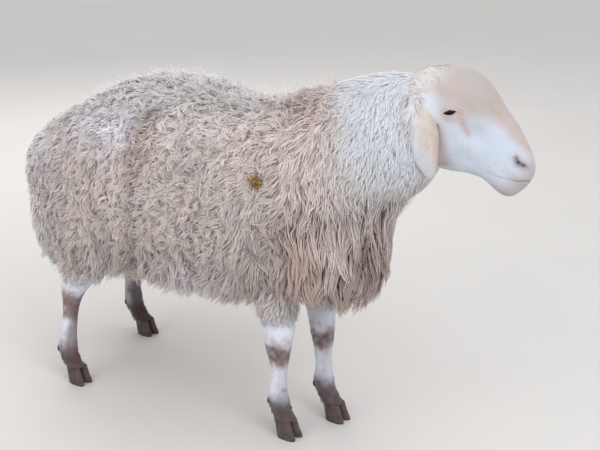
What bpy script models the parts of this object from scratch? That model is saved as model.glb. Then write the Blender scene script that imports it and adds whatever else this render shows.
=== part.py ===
"""Woolly fat-tailed sheep standing with its head turned to its left, life size, in metres.

Frame: +X is the sheep's left, -Y the way its body faces, +Z up, the floor at Z = 0.
Every sub-part is a closed solid whose outside is the outline at the tips of the coat.
Each one is a loft: a table of stations along an axis, each station a rounded section.
"""
import math

import bmesh
import bpy
import numpy as np
from mathutils import Matrix

# ---------------------------------------------------------------- driving sizes
GAP = 0.0003                    # air left between two sub-parts that touch
LEG_SPLIT = 0.0004              # air between the storeys of a leg
HEAD_YAW = math.radians(27.0)   # the head looks this far to the sheep's left
HEAD_PITCH = math.radians(40.0)  # the muzzle points this far below level
HEAD_PIVOT = (0.050, -0.120)    # where the head's mid-plane crosses the floor plan
HEAD_REACH = 0.130              # from that pivot forward to the head's own origin
HEAD_HEIGHT = 0.730             # height of the head's own origin
EYE_RADIUS = 0.0145
EYE_PLACE = (0.012, 0.040, 0.0570)   # along the head, across it, out from the mid-plane
EAR_BASE = (0.098, 0.776, 0.073)     # forward of the pivot, height, out from the mid-plane
EAR_LENGTH = 0.162
EAR_SWEEP = 0.16                # forward lean of the hanging ear, metres per metre
EAR_CUP = 0.014                 # how far the ear's edges curl in towards the neck
CLAW_HEIGHT = 0.040
CLAW_HALF_WIDTH = 0.0108
CLEFT = 0.0016                  # air between the two claws of a foot
FETLOCK_Z = 0.092
DEWCLAW_SIZE = (0.0062, 0.0075, 0.0120)   # half sizes across, fore-and-aft, up
MOUTH_CUT = (0.155, -0.0100, 28.0)   # back corner of the mouth cut and its rise in degrees

# Trunk: y, top, bottom, widest height, half width, roundness above, roundness below
TRUNK = (
    (-0.170, 0.450, 0.414, 0.430, 0.018, 2.0, 2.0),
    (-0.165, 0.505, 0.362, 0.430, 0.060, 2.1, 2.2),
    (-0.153, 0.560, 0.344, 0.435, 0.092, 2.2, 2.3),
    (-0.125, 0.635, 0.336, 0.450, 0.126, 2.3, 2.4),
    (-0.080, 0.708, 0.328, 0.480, 0.152, 2.3, 2.4),
    (-0.005, 0.756, 0.319, 0.500, 0.172, 2.3, 2.5),
    (0.090, 0.747, 0.300, 0.510, 0.190, 2.3, 2.6),
    (0.200, 0.744, 0.288, 0.510, 0.203, 2.4, 2.6),
    (0.320, 0.766, 0.283, 0.510, 0.210, 2.4, 2.7),
    (0.430, 0.768, 0.283, 0.505, 0.212, 2.4, 2.8),
    (0.530, 0.737, 0.286, 0.490, 0.210, 2.4, 2.8),
    (0.600, 0.706, 0.294, 0.480, 0.204, 2.5, 2.6),
    (0.660, 0.674, 0.322, 0.480, 0.195, 2.6, 2.4),
    (0.715, 0.644, 0.374, 0.490, 0.179, 2.6, 2.3),
    (0.760, 0.612, 0.430, 0.505, 0.150, 2.4, 2.1),
    (0.788, 0.575, 0.475, 0.518, 0.106, 2.2, 2.0),
    (0.802, 0.542, 0.505, 0.522, 0.052, 2.0, 2.0),
    (0.805, 0.528, 0.516, 0.522, 0.016, 2.0, 2.0),
)

# Neck along its own axis: distance, top, bottom, widest height, half width, roundness x 2
NECK_FROM = (0.000, 0.060, 0.570)
NECK_TO = (0.100, -0.220, 0.730)
NECK = (
    (-0.060, 0.060, -0.060, 0.000, 0.050, 2.0, 2.0),
    (-0.030, 0.118, -0.130, 0.000, 0.110, 2.0, 2.0),
    (0.040, 0.160, -0.184, 0.000, 0.142, 2.1, 2.1),
    (0.130, 0.153, -0.172, -0.010, 0.138, 2.1, 2.1),
    (0.220, 0.140, -0.146, -0.010, 0.120, 2.1, 2.1),
    (0.270, 0.128, -0.136, -0.008, 0.103, 2.1, 2.1),
    (0.305, 0.119, -0.118, -0.006, 0.082, 2.1, 2.1),
    (0.335, 0.106, -0.096, -0.004, 0.062, 2.1, 2.1),
    (0.362, 0.078, -0.066, -0.002, 0.042, 2.0, 2.0),
    (0.375, 0.030, -0.026, 0.000, 0.018, 2.0, 2.0),
)

# Head along its own axis: distance, top, bottom, widest height, half width, roundness x 2
HEAD = (
    (-0.086, 0.052, 0.016, 0.034, 0.018, 2.0, 2.0),
    (-0.074, 0.071, -0.012, 0.030, 0.040, 2.1, 2.0),
    (-0.045, 0.103, -0.044, 0.030, 0.057, 2.2, 2.0),
    (-0.005, 0.127, -0.076, 0.032, 0.067, 2.4, 2.0),
    (0.029, 0.130, -0.088, 0.034, 0.069, 2.5, 2.0),
    (0.063, 0.124, -0.083, 0.034, 0.061, 2.4, 2.0),
    (0.099, 0.113, -0.066, 0.034, 0.049, 2.3, 2.1),
    (0.138, 0.104, -0.041, 0.036, 0.0410, 2.3, 2.2),
    (0.166, 0.094, -0.032, 0.034, 0.0380, 2.3, 2.3),
    (0.190, 0.084, -0.032, 0.031, 0.0372, 2.3, 2.3),
    (0.210, 0.074, -0.029, 0.028, 0.0355, 2.3, 2.3),
    (0.224, 0.063, -0.022, 0.024, 0.0315, 2.3, 2.2),
    (0.234, 0.049, -0.011, 0.020, 0.0225, 2.1, 2.1),
    (0.239, 0.031, 0.006, 0.019, 0.0080, 2.0, 2.0),
)

# Ear down its length: distance, front edge, back edge, widest, half thickness, roundness x 2
EAR = (
    (-0.012, 0.010, -0.010, 0.000, 0.0050, 2.0, 2.0),
    (-0.004, 0.018, -0.018, 0.000, 0.0085, 2.0, 2.0),
    (0.018, 0.026, -0.025, 0.000, 0.0090, 2.2, 2.2),
    (0.048, 0.033, -0.030, 0.000, 0.0078, 2.3, 2.3),
    (0.080, 0.035, -0.029, 0.001, 0.0068, 2.4, 2.4),
    (0.110, 0.033, -0.023, 0.002, 0.0062, 2.4, 2.4),
    (0.138, 0.024, -0.015, 0.003, 0.0056, 2.2, 2.2),
    (0.156, 0.013, -0.006, 0.003, 0.0044, 2.0, 2.0),
    (0.162, 0.006, 0.000, 0.003, 0.0022, 2.0, 2.0),
)

# Fat tail by height: height, back, front, widest, half width, roundness x 2
TAIL = (
    (0.222, -0.752, -0.722, -0.737, 0.020, 2.0, 2.0),
    (0.232, -0.772, -0.704, -0.738, 0.060, 2.1, 2.1),
    (0.262, -0.789, -0.690, -0.738, 0.104, 2.3, 2.2),
    (0.320, -0.802, -0.672, -0.736, 0.137, 2.4, 2.3),
    (0.400, -0.808, -0.658, -0.734, 0.154, 2.4, 2.3),
    (0.480, -0.806, -0.650, -0.728, 0.157, 2.3, 2.3),
    (0.550, -0.792, -0.640, -0.716, 0.144, 2.2, 2.2),
    (0.595, -0.764, -0.635, -0.700, 0.112, 2.1, 2.1),
    (0.622, -0.720, -0.640, -0.680, 0.060, 2.0, 2.0),
    (0.628, -0.690, -0.670, -0.680, 0.020, 2.0, 2.0),
)

# Legs by height: height, front y, back y, middle y, half width, sideways place
FORE_RIGHT = (
    (0.0404, -0.0150, 0.0330, 0.008, 0.0232, -0.083),
    (0.055, -0.0095, 0.0440, 0.017, 0.0208, -0.083),
    (0.075, -0.0030, 0.0520, 0.024, 0.0212, -0.083),
    (0.092, 0.0005, 0.0545, 0.028, 0.0210, -0.083),
    (0.117, 0.0050, 0.0510, 0.028, 0.0172, -0.083),
    (0.152, 0.0030, 0.0510, 0.027, 0.0180, -0.082),
    (0.185, -0.0030, 0.0570, 0.027, 0.0250, -0.082),
    (0.212, -0.0070, 0.0640, 0.029, 0.0300, -0.082),
    (0.240, -0.0110, 0.0680, 0.029, 0.0310, -0.082),
    (0.275, -0.0170, 0.0750, 0.029, 0.0370, -0.083),
    (0.315, -0.0280, 0.0860, 0.029, 0.0480, -0.085),
    (0.360, -0.0320, 0.0900, 0.029, 0.0520, -0.087),
)
FORE_LEFT = (
    (0.0404, -0.0520, -0.0020, -0.026, 0.0232, 0.051),
    (0.055, -0.0400, 0.0130, -0.013, 0.0208, 0.051),
    (0.075, -0.0290, 0.0240, -0.002, 0.0212, 0.051),
    (0.092, -0.0270, 0.0270, 0.001, 0.0210, 0.051),
    (0.117, -0.0230, 0.0250, 0.002, 0.0172, 0.052),
    (0.152, -0.0210, 0.0300, 0.005, 0.0180, 0.053),
    (0.185, -0.0240, 0.0370, 0.007, 0.0250, 0.055),
    (0.212, -0.0240, 0.0440, 0.010, 0.0300, 0.057),
    (0.240, -0.0220, 0.0490, 0.013, 0.0310, 0.059),
    (0.275, -0.0230, 0.0590, 0.017, 0.0370, 0.062),
    (0.315, -0.0290, 0.0760, 0.022, 0.0480, 0.066),
    (0.360, -0.0320, 0.0830, 0.025, 0.0520, 0.070),
)
HIND_RIGHT = (
    (0.0404, 0.5700, 0.6230, 0.596, 0.0222, -0.169),
    (0.055, 0.5820, 0.6380, 0.611, 0.0200, -0.169),
    (0.075, 0.5900, 0.6470, 0.619, 0.0205, -0.169),
    (0.092, 0.5925, 0.6490, 0.621, 0.0205, -0.168),
    (0.122, 0.5900, 0.6430, 0.616, 0.0170, -0.167),
    (0.165, 0.5840, 0.6370, 0.610, 0.0175, -0.165),
    (0.205, 0.5740, 0.6340, 0.605, 0.0210, -0.163),
    (0.238, 0.5580, 0.6345, 0.601, 0.0260, -0.161),
    (0.262, 0.5360, 0.6290, 0.588, 0.0310, -0.160),
    (0.285, 0.5150, 0.6250, 0.572, 0.0360, -0.158),
    (0.305, 0.5040, 0.6250, 0.568, 0.0390, -0.156),
)
HIND_LEFT = (
    (0.0404, 0.6540, 0.7070, 0.680, 0.0222, 0.155),
    (0.055, 0.6690, 0.7240, 0.697, 0.0200, 0.155),
    (0.075, 0.6810, 0.7380, 0.710, 0.0205, 0.155),
    (0.092, 0.6850, 0.7430, 0.714, 0.0205, 0.155),
    (0.122, 0.6860, 0.7440, 0.713, 0.0170, 0.154),
    (0.165, 0.6850, 0.7430, 0.712, 0.0175, 0.153),
    (0.205, 0.6780, 0.7420, 0.710, 0.0210, 0.151),
    (0.238, 0.6620, 0.7420, 0.705, 0.0260, 0.149),
    (0.262, 0.6380, 0.7350, 0.690, 0.0310, 0.147),
    (0.285, 0.6140, 0.7230, 0.670, 0.0360, 0.145),
    (0.305, 0.6000, 0.7180, 0.662, 0.0390, 0.144),
)
THIGH_RIGHT = (
    (0.3000, 0.5010, 0.6360, 0.571, 0.0420, -0.158),
    (0.3050, 0.4940, 0.6420, 0.569, 0.0500, -0.157),
    (0.3350, 0.4800, 0.6500, 0.566, 0.0600, -0.152),
    (0.3900, 0.4600, 0.6550, 0.558, 0.0710, -0.141),
    (0.4700, 0.4450, 0.6560, 0.550, 0.0740, -0.130),
    (0.5500, 0.4450, 0.6400, 0.540, 0.0640, -0.118),
    (0.6000, 0.4600, 0.6100, 0.530, 0.0400, -0.105),
    (0.6100, 0.5200, 0.5400, 0.530, 0.0100, -0.100),
)
THIGH_LEFT = (
    (0.3000, 0.5900, 0.7220, 0.660, 0.0420, 0.146),
    (0.3050, 0.5820, 0.7300, 0.658, 0.0500, 0.145),
    (0.3350, 0.5600, 0.7380, 0.652, 0.0600, 0.143),
    (0.3900, 0.5300, 0.7380, 0.636, 0.0710, 0.136),
    (0.4700, 0.5000, 0.7240, 0.616, 0.0740, 0.127),
    (0.5500, 0.4800, 0.6940, 0.590, 0.0640, 0.117),
    (0.6000, 0.4700, 0.6500, 0.560, 0.0400, 0.105),
    (0.6100, 0.5500, 0.5700, 0.560, 0.0100, 0.100),
)
CANNON_TOP = {"fore": 0.190, "hind": 0.215}
UPPER_TOP = {"fore": 0.360, "hind": 0.2996}
THIGH_TOP = 0.610
LEG_ROUNDNESS = 2.1

# One claw by height, from the foot's own front: height, toe, heel, middle, half width share
CLAW = (
    (0.0000, -0.0130, 0.0350, 0.012, 1.00),
    (0.0050, -0.0125, 0.0360, 0.012, 1.02),
    (0.0200, -0.0060, 0.0385, 0.016, 1.00),
    (0.0400, 0.0020, 0.0420, 0.021, 0.94),
)
CLAW_ROUNDNESS = 2.5

# ---------------------------------------------------------------- colours and surfaces
SURFACES = {
    "wool": ((0.53, 0.49, 0.47), 0.95),
    "hair": ((0.62, 0.58, 0.56), 0.85),
    "leg_hair": ((0.48, 0.44, 0.43), 0.85),
    "horn": ((0.075, 0.060, 0.055), 0.55),
    "eye": ((0.030, 0.020, 0.015), 0.15),
}


def surface(kind, node_name):
    """A plain Principled material of one kind, made for one sub-part."""
    colour, rough = SURFACES[kind]
    material = bpy.data.materials.new(kind + "_" + node_name)
    material.use_nodes = True
    shader = material.node_tree.nodes["Principled BSDF"]
    shader.inputs["Base Color"].default_value = (*colour, 1.0)
    shader.inputs["Roughness"].default_value = rough
    return material


# ---------------------------------------------------------------- lofting
def read_table(rows, places):
    """Monotone cubic reading of a station table at the places asked for."""
    table = np.asarray(rows, float)
    knots = table[:, 0]
    values = table[:, 1:]
    step = np.diff(knots)[:, None]
    slope = np.diff(values, axis=0) / step
    tangent = np.zeros_like(values)
    tangent[0] = slope[0]
    tangent[-1] = slope[-1]
    before = 2.0 * step[1:] + step[:-1]
    after = step[1:] + 2.0 * step[:-1]
    same_way = slope[:-1] * slope[1:] > 0.0
    lower = np.where(same_way, slope[:-1], 1.0)
    upper = np.where(same_way, slope[1:], 1.0)
    tangent[1:-1] = np.where(same_way, (before + after) / (before / lower + after / upper), 0.0)
    cell = np.clip(np.searchsorted(knots, places, side="right") - 1, 0, len(knots) - 2)
    width = step[cell]
    t = (np.asarray(places)[:, None] - knots[cell][:, None]) / width
    rise = t * t * (3.0 - 2.0 * t)
    leave = t * (1.0 - t) ** 2
    arrive = t * t * (t - 1.0)
    curved = leave * tangent[cell] + arrive * tangent[cell + 1]
    return values[cell] * (1.0 - rise) + values[cell + 1] * rise + curved * width


def stations(rows, per_step):
    """Ring positions: every step of the table divided into the same number of parts."""
    knots = np.asarray(rows, float)[:, 0]
    count = (len(knots) - 1) * per_step
    return np.interp(np.arange(count + 1) / per_step, np.arange(len(knots)), knots)


def oval(high, low, middle, half, power_high, power_low, around):
    """Rounded section: |x/half|^p + |y/reach|^p = 1, with its own reach and p up and down."""
    angle = np.arange(around) / around * math.tau
    cos = np.cos(angle)[None, :]
    sin = np.sin(angle)[None, :]
    above = sin >= 0.0
    reach = np.where(above, (high - middle)[:, None], (middle - low)[:, None])
    power = np.where(above, power_high[:, None], power_low[:, None])
    across = half[:, None] * np.sign(cos) * np.abs(cos) ** (2.0 / power)
    upward = middle[:, None] + reach * np.sign(sin) * np.abs(sin) ** (2.0 / power)
    return across, upward


def ring_solid(name, rings, flat_ends=False):
    """Closed mesh object over an array of rings (ring, around, xyz) with both ends shut."""
    count, around = rings.shape[:2]
    index = np.arange(count * around).reshape(count, around)
    beside = np.roll(index, -1, axis=1)
    walls = np.stack([index[:-1], beside[:-1], beside[1:], index[1:]], axis=-1).reshape(-1, 4)
    points = rings.reshape(-1, 3)
    faces = walls.tolist()
    if flat_ends:
        faces.append(index[0, ::-1].tolist())
        faces.append(index[-1].tolist())
    else:
        first = len(points)
        points = np.vstack([points, rings[0].mean(axis=0), rings[-1].mean(axis=0)])
        faces += np.stack([beside[0], index[0], np.full(around, first)], axis=-1).tolist()
        faces += np.stack([index[-1], beside[-1], np.full(around, first + 1)], axis=-1).tolist()
    return mesh_object(name, points, faces)


def mesh_object(name, points, faces):
    """New object from points and faces, outward triangles shaded smooth."""
    mesh = bpy.data.meshes.new(name)
    mesh.from_pydata(np.asarray(points).tolist(), [], faces)
    work = bmesh.new()
    work.from_mesh(mesh)
    bmesh.ops.recalc_face_normals(work, faces=work.faces[:])
    bmesh.ops.triangulate(work, faces=work.faces[:])
    work.to_mesh(mesh)
    work.free()
    mesh.polygons.foreach_set("use_smooth", [True] * len(mesh.polygons))
    made = bpy.data.objects.new(name, mesh)
    bpy.context.collection.objects.link(made)
    return made


def loft(name, rows, frame, around, per_step):
    """Loft a seven-column table in a frame: origin, side, up and along vectors."""
    origin, side, up, along = (np.asarray(v, float) for v in frame)
    places = stations(rows, per_step)
    high, low, middle, half, power_high, power_low = read_table(rows, places).T
    across, upward = oval(high, low, middle, half, power_high, power_low, around)
    rings = origin + across[..., None] * side + upward[..., None] * up
    return ring_solid(name, rings + places[:, None, None] * along)


# ---------------------------------------------------------------- cutting one part by another
def cutter_from(source, gap):
    """Hidden copy of a solid, its surface moved out by the gap along its own normals."""
    mesh = source.data.copy()
    points = np.empty(len(mesh.vertices) * 3)
    normals = np.empty(len(mesh.vertices) * 3)
    mesh.vertices.foreach_get("co", points)
    mesh.vertices.foreach_get("normal", normals)
    mesh.vertices.foreach_set("co", points + gap * normals)
    cutter = bpy.data.objects.new("cut_" + source.name, mesh)
    bpy.context.collection.objects.link(cutter)
    return hide(cutter)


def hide(cutter):
    """Keep a cutter out of the finished part."""
    cutter.hide_render = True
    cutter.display_type = "WIRE"
    return cutter


def boolean(target, cutter, operation="DIFFERENCE"):
    """Exact Boolean of the target with a hidden cutter."""
    step = target.modifiers.new(operation.lower() + "_" + cutter.name, "BOOLEAN")
    step.operation = operation
    step.solver = "EXACT"
    step.object = cutter


def paint(target, kind):
    """Give a sub-part its material."""
    target.data.materials.append(surface(kind, target.name))


# ---------------------------------------------------------------- body
UP = (0.0, 0.0, 1.0)
LEFT = (1.0, 0.0, 0.0)
BACK = (0.0, 1.0, 0.0)
FRONT = (0.0, -1.0, 0.0)
ZERO = (0.0, 0.0, 0.0)


def build_trunk():
    """The barrel with its chest ruff: sections across the body, stations along it."""
    trunk = loft("trunk", TRUNK, (ZERO, LEFT, UP, BACK), 26, 2)
    paint(trunk, "wool")
    return trunk


def build_neck(trunk_cutter):
    """The woolly neck, lofted from inside the chest to behind the poll."""
    start = np.asarray(NECK_FROM)
    along = np.asarray(NECK_TO) - start
    along = along / np.linalg.norm(along)
    side = np.cross(along, UP)
    side = -side / np.linalg.norm(side)
    up = np.cross(side, along)
    up = up if up[2] > 0.0 else -up
    neck = loft("neck", NECK, (start, side, up, along), 24, 2)
    boolean(neck, trunk_cutter)
    paint(neck, "wool")
    return neck


def build_tail(cutters):
    """The broad fat tail hanging behind the thighs, stations by height."""
    tail = loft("tail", TAIL, (ZERO, LEFT, FRONT, UP), 20, 1)
    for cutter in cutters:
        boolean(tail, cutter)
    paint(tail, "wool")
    return tail


# ---------------------------------------------------------------- head
def head_vectors():
    """The head's level forward, left, along (to the muzzle) and dorsal directions."""
    forward = np.array([math.sin(HEAD_YAW), -math.cos(HEAD_YAW), 0.0])
    left = np.array([math.cos(HEAD_YAW), math.sin(HEAD_YAW), 0.0])
    up = np.asarray(UP)
    along = math.cos(HEAD_PITCH) * forward - math.sin(HEAD_PITCH) * up
    dorsal = math.sin(HEAD_PITCH) * forward + math.cos(HEAD_PITCH) * up
    return forward, left, along, dorsal


def head_origin():
    """The head's own origin, a little behind and above the eye."""
    forward = head_vectors()[0]
    pivot = np.array([*HEAD_PIVOT, HEAD_HEIGHT])
    return pivot + HEAD_REACH * forward


def mouth_wedge():
    """Box in front of and below the mouth line, in the head's own directions."""
    forward, left, along, dorsal = head_vectors()
    corner_along, corner_across, rise = MOUTH_CUT
    lean = math.radians(rise)
    line = math.cos(lean) * along + math.sin(lean) * dorsal
    down = math.sin(lean) * along - math.cos(lean) * dorsal
    corner = head_origin() + corner_along * along + corner_across * dorsal
    reach, depth, half = 0.12, 0.10, 0.08
    points = []
    for far in (0.0, reach):
        for low in (0.0, depth):
            for side in (-half, half):
                points.append(corner + far * line + low * down + side * left)
    faces = [(0, 1, 3, 2), (4, 6, 7, 5), (0, 4, 5, 1), (2, 3, 7, 6), (0, 2, 6, 4), (1, 5, 7, 3)]
    return mesh_object("mouth_wedge", points, faces)


def build_head(neck_cutter):
    """Skull and face, its eye sockets, and the lower jaw parted along the mouth."""
    forward, left, along, dorsal = head_vectors()
    frame = (head_origin(), left, dorsal, along)
    head = loft("head", HEAD, frame, 24, 2)
    jaw = loft("lower_jaw", HEAD, frame, 24, 2)
    wedge = mouth_wedge()
    boolean(jaw, wedge, "INTERSECT")
    boolean(head, neck_cutter)
    boolean(head, cutter_from(wedge, GAP))
    hide(wedge)
    for side, sign in (("right", -1.0), ("left", 1.0)):
        eye = build_eye("eye_" + side, sign)
        boolean(head, cutter_from(eye, GAP))
    paint(head, "hair")
    paint(jaw, "hair")
    return head


def build_eye(name, sign):
    """Eyeball: a sphere let into the side of the head."""
    forward, left, along, dorsal = head_vectors()
    place = head_origin() + EYE_PLACE[0] * along + EYE_PLACE[1] * dorsal
    place = place + sign * EYE_PLACE[2] * left
    turn = np.linspace(0.0, math.pi, 10)[1:-1]
    round_it = np.arange(12) / 12 * math.tau
    radius = EYE_RADIUS * np.sin(turn)[:, None]
    rings = place + radius[..., None] * (
        np.cos(round_it)[None, :, None] * along + np.sin(round_it)[None, :, None] * dorsal
    )
    rings = rings + (EYE_RADIUS * np.cos(turn))[:, None, None] * left
    eye = ring_solid(name, rings)
    paint(eye, "eye")
    return eye


def build_ear(side, sign, cutters):
    """Lop ear: a thin leaf hanging down the cheek, its edges curled in to the neck."""
    forward, left, along, dorsal = head_vectors()
    reach, height, out = EAR_BASE
    base = np.array([*HEAD_PIVOT, height]) + reach * forward + sign * out * left
    places = stations(EAR, 1)
    front, back, middle, half, power_high, power_low = read_table(EAR, places).T
    across, edge = oval(front, back, middle, half, power_high, power_low, 16)
    span = np.maximum(front - back, 0.001)[:, None] / 2.0
    centre = ((front + back) / 2.0)[:, None]
    outward = across - EAR_CUP * ((edge - centre) / 0.038) ** 2
    outward = outward + 0.010 * np.sin(np.clip(places / EAR_LENGTH, 0, 1) * math.pi)[:, None]
    edge = edge + EAR_SWEEP * places[:, None]
    rings = base + edge[..., None] * forward + (sign * outward)[..., None] * left
    rings = rings - places[:, None, None] * np.asarray(UP)
    ear = ring_solid("ear_" + side, rings)
    for cutter in cutters:
        boolean(ear, cutter)
    paint(ear, "hair")
    return ear


# ---------------------------------------------------------------- legs
def leg_piece(name, rows, low, high, flat_ends=True):
    """One storey of a leg: the leg's table read between two heights."""
    knots = np.asarray(rows)[:, 0]
    inner = knots[(knots > low + 0.004) & (knots < high - 0.004)]
    places = np.concatenate([[low], inner, [high]])
    front, back, middle, half, shift = read_table(rows, places).T
    power = np.full_like(front, LEG_ROUNDNESS)
    across, depth = oval(-front, -back, -middle, half, power, power, 14)
    heights = np.broadcast_to(places[:, None], across.shape)
    rings = np.stack([across + shift[:, None], -depth, heights], axis=-1)
    return ring_solid(name, rings, flat_ends)


def build_claw(name, rows, sign):
    """One of the two claws of a foot, its sole flat on the floor."""
    front, back, middle, half, shift = read_table(rows, np.array([CLAW_HEIGHT])).T
    table = np.asarray(CLAW)
    toe, heel, centre, share = (table[:, k] for k in range(1, 5))
    half_width = CLAW_HALF_WIDTH * share
    power = np.full_like(toe, CLAW_ROUNDNESS)
    across, depth = oval(-toe, -heel, -centre, half_width, power, power, 12)
    off = sign * (CLEFT / 2.0 + CLAW_HALF_WIDTH * 1.02)
    heights = np.broadcast_to(table[:, 0][:, None], across.shape)
    rings = np.stack([across + shift[0] + off, front[0] - depth, heights], axis=-1)
    claw = ring_solid(name, rings, True)
    paint(claw, "horn")
    return claw


def build_dewclaw(name, rows, sign, pastern_cutter, cannon_cutter):
    """Small blunt claw behind the fetlock, let into the leg."""
    front, back, middle, half, shift = read_table(rows, np.array([FETLOCK_Z - 0.012])).T
    across_half, deep_half, tall_half = DEWCLAW_SIZE
    turn = np.linspace(0.0, math.pi, 5)[1:-1]
    angle = np.arange(7) / 7 * math.tau
    wide = np.sin(turn)[:, None]
    x = shift[0] + sign * half[0] * 0.55 + across_half * wide * np.cos(angle)[None, :]
    y = back[0] - 0.0005 + deep_half * wide * np.sin(angle)[None, :]
    z = np.broadcast_to((FETLOCK_Z - 0.012 + tall_half * np.cos(turn))[:, None], x.shape)
    dewclaw = ring_solid(name, np.stack([x, y, z], axis=-1))
    boolean(dewclaw, pastern_cutter)
    boolean(dewclaw, cannon_cutter)
    paint(dewclaw, "horn")


def build_thigh(name, rows, trunk_cutter):
    """Woolly thigh standing out of the flank; returns a cutter of its shape."""
    thigh = leg_piece(name + "_thigh", rows, rows[0][0], THIGH_TOP)
    cutter = cutter_from(thigh, GAP)
    boolean(thigh, trunk_cutter)
    paint(thigh, "wool")
    return cutter


def build_leg(name, kind, rows, trunk_cutter):
    """A whole leg: upper leg from the fleece, cannon, pastern, two claws, two dewclaws."""
    knee = CANNON_TOP[kind]
    pastern = leg_piece(name + "_pastern", rows, CLAW_HEIGHT + LEG_SPLIT, FETLOCK_Z)
    cannon = leg_piece(name + "_cannon", rows, FETLOCK_Z + LEG_SPLIT, knee)
    upper = leg_piece(name + "_upper", rows, knee + LEG_SPLIT, UPPER_TOP[kind])
    boolean(upper, trunk_cutter)
    for piece in (pastern, cannon, upper):
        paint(piece, "leg_hair")
    pastern_cutter = cutter_from(pastern, GAP)
    cannon_cutter = cutter_from(cannon, GAP)
    for side, sign in (("right", -1.0), ("left", 1.0)):
        build_claw(name + "_claw_" + side, rows, sign)
        build_dewclaw(name + "_dewclaw_" + side, rows, sign, pastern_cutter, cannon_cutter)


# ---------------------------------------------------------------- whole sheep
def stand_on_origin():
    """Move every mesh so the finished sheep's box is centred over the origin, on the floor."""
    bpy.context.view_layer.update()
    graph = bpy.context.evaluated_depsgraph_get()
    low = np.full(3, np.inf)
    high = np.full(3, -np.inf)
    for item in bpy.data.objects:
        if item.hide_render:
            continue
        mesh = item.evaluated_get(graph).to_mesh()
        points = np.empty(len(mesh.vertices) * 3)
        mesh.vertices.foreach_get("co", points)
        low = np.minimum(low, points.reshape(-1, 3).min(axis=0))
        high = np.maximum(high, points.reshape(-1, 3).max(axis=0))
    centre = (low + high) / 2.0
    move = Matrix.Translation((-centre[0], -centre[1], -low[2]))
    for item in bpy.data.objects:
        item.data.transform(move)
        item.data.update()


def main():
    """Clear the scene and build every sub-part."""
    for item in list(bpy.data.objects):
        bpy.data.objects.remove(item, do_unlink=True)
    trunk_cutter = cutter_from(build_trunk(), GAP)
    neck = build_neck(trunk_cutter)
    neck_cutter = cutter_from(neck, GAP)
    head = build_head(neck_cutter)
    head_cutter = cutter_from(head, GAP)
    for side, sign in (("right", -1.0), ("left", 1.0)):
        build_ear(side, sign, (head_cutter, neck_cutter, trunk_cutter))
    thigh_right = build_thigh("hind_right", THIGH_RIGHT, trunk_cutter)
    thigh_left = build_thigh("hind_left", THIGH_LEFT, trunk_cutter)
    build_tail((trunk_cutter, thigh_right, thigh_left))
    build_leg("fore_right", "fore", FORE_RIGHT, trunk_cutter)
    build_leg("fore_left", "fore", FORE_LEFT, trunk_cutter)
    build_leg("hind_right", "hind", HIND_RIGHT, trunk_cutter)
    build_leg("hind_left", "hind", HIND_LEFT, trunk_cutter)
    stand_on_origin()


main()
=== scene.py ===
"""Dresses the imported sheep: one skin, eyes, hooves, fleece and short hair, on a plain stage.

Shapes are worked out in a drawing frame (the body's mid-plane at x = 0, the right fore fetlock's
front at y = 0, the floor at z = 0) and moved by MOVE into the row frame when they become meshes.
"""

import math

import bpy
import numpy as np
from bpy.props import FloatProperty, FloatVectorProperty, PointerProperty
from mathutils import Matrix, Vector, kdtree


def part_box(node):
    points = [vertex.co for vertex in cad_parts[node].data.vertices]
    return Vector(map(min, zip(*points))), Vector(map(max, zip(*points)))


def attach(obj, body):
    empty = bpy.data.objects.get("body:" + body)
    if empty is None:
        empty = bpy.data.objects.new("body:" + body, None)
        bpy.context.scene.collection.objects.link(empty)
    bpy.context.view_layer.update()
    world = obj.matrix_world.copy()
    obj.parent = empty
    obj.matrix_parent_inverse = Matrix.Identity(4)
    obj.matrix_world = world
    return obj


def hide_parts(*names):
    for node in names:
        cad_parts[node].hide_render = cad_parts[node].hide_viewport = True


bl_info = {
    "name": "Woolly sheep",
    "version": (1, 0, 0),
    "blender": (4, 5, 0),
    "location": "3D View > Sidebar > Sheep",
    "description": "Skin, eyes, hooves, fleece and short hair for the packed sheep",
    "category": "Object",
}

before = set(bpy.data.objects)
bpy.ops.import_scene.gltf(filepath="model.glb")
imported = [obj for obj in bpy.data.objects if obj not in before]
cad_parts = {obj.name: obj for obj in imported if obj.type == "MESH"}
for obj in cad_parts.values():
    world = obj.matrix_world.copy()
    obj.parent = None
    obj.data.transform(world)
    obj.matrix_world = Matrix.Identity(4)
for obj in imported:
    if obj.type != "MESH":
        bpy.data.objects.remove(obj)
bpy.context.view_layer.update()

# ---------- shape tables, as in the solids, in millimetres
def metres(rows, plain=0):
    """A table drawn up in millimetres, as metres; its last columns stay plain numbers."""
    table = np.array(rows, float)
    lengths = table[:, :table.shape[1] - plain]
    lengths[:] = np.round(lengths / 1000.0, 5)
    return table


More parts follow.
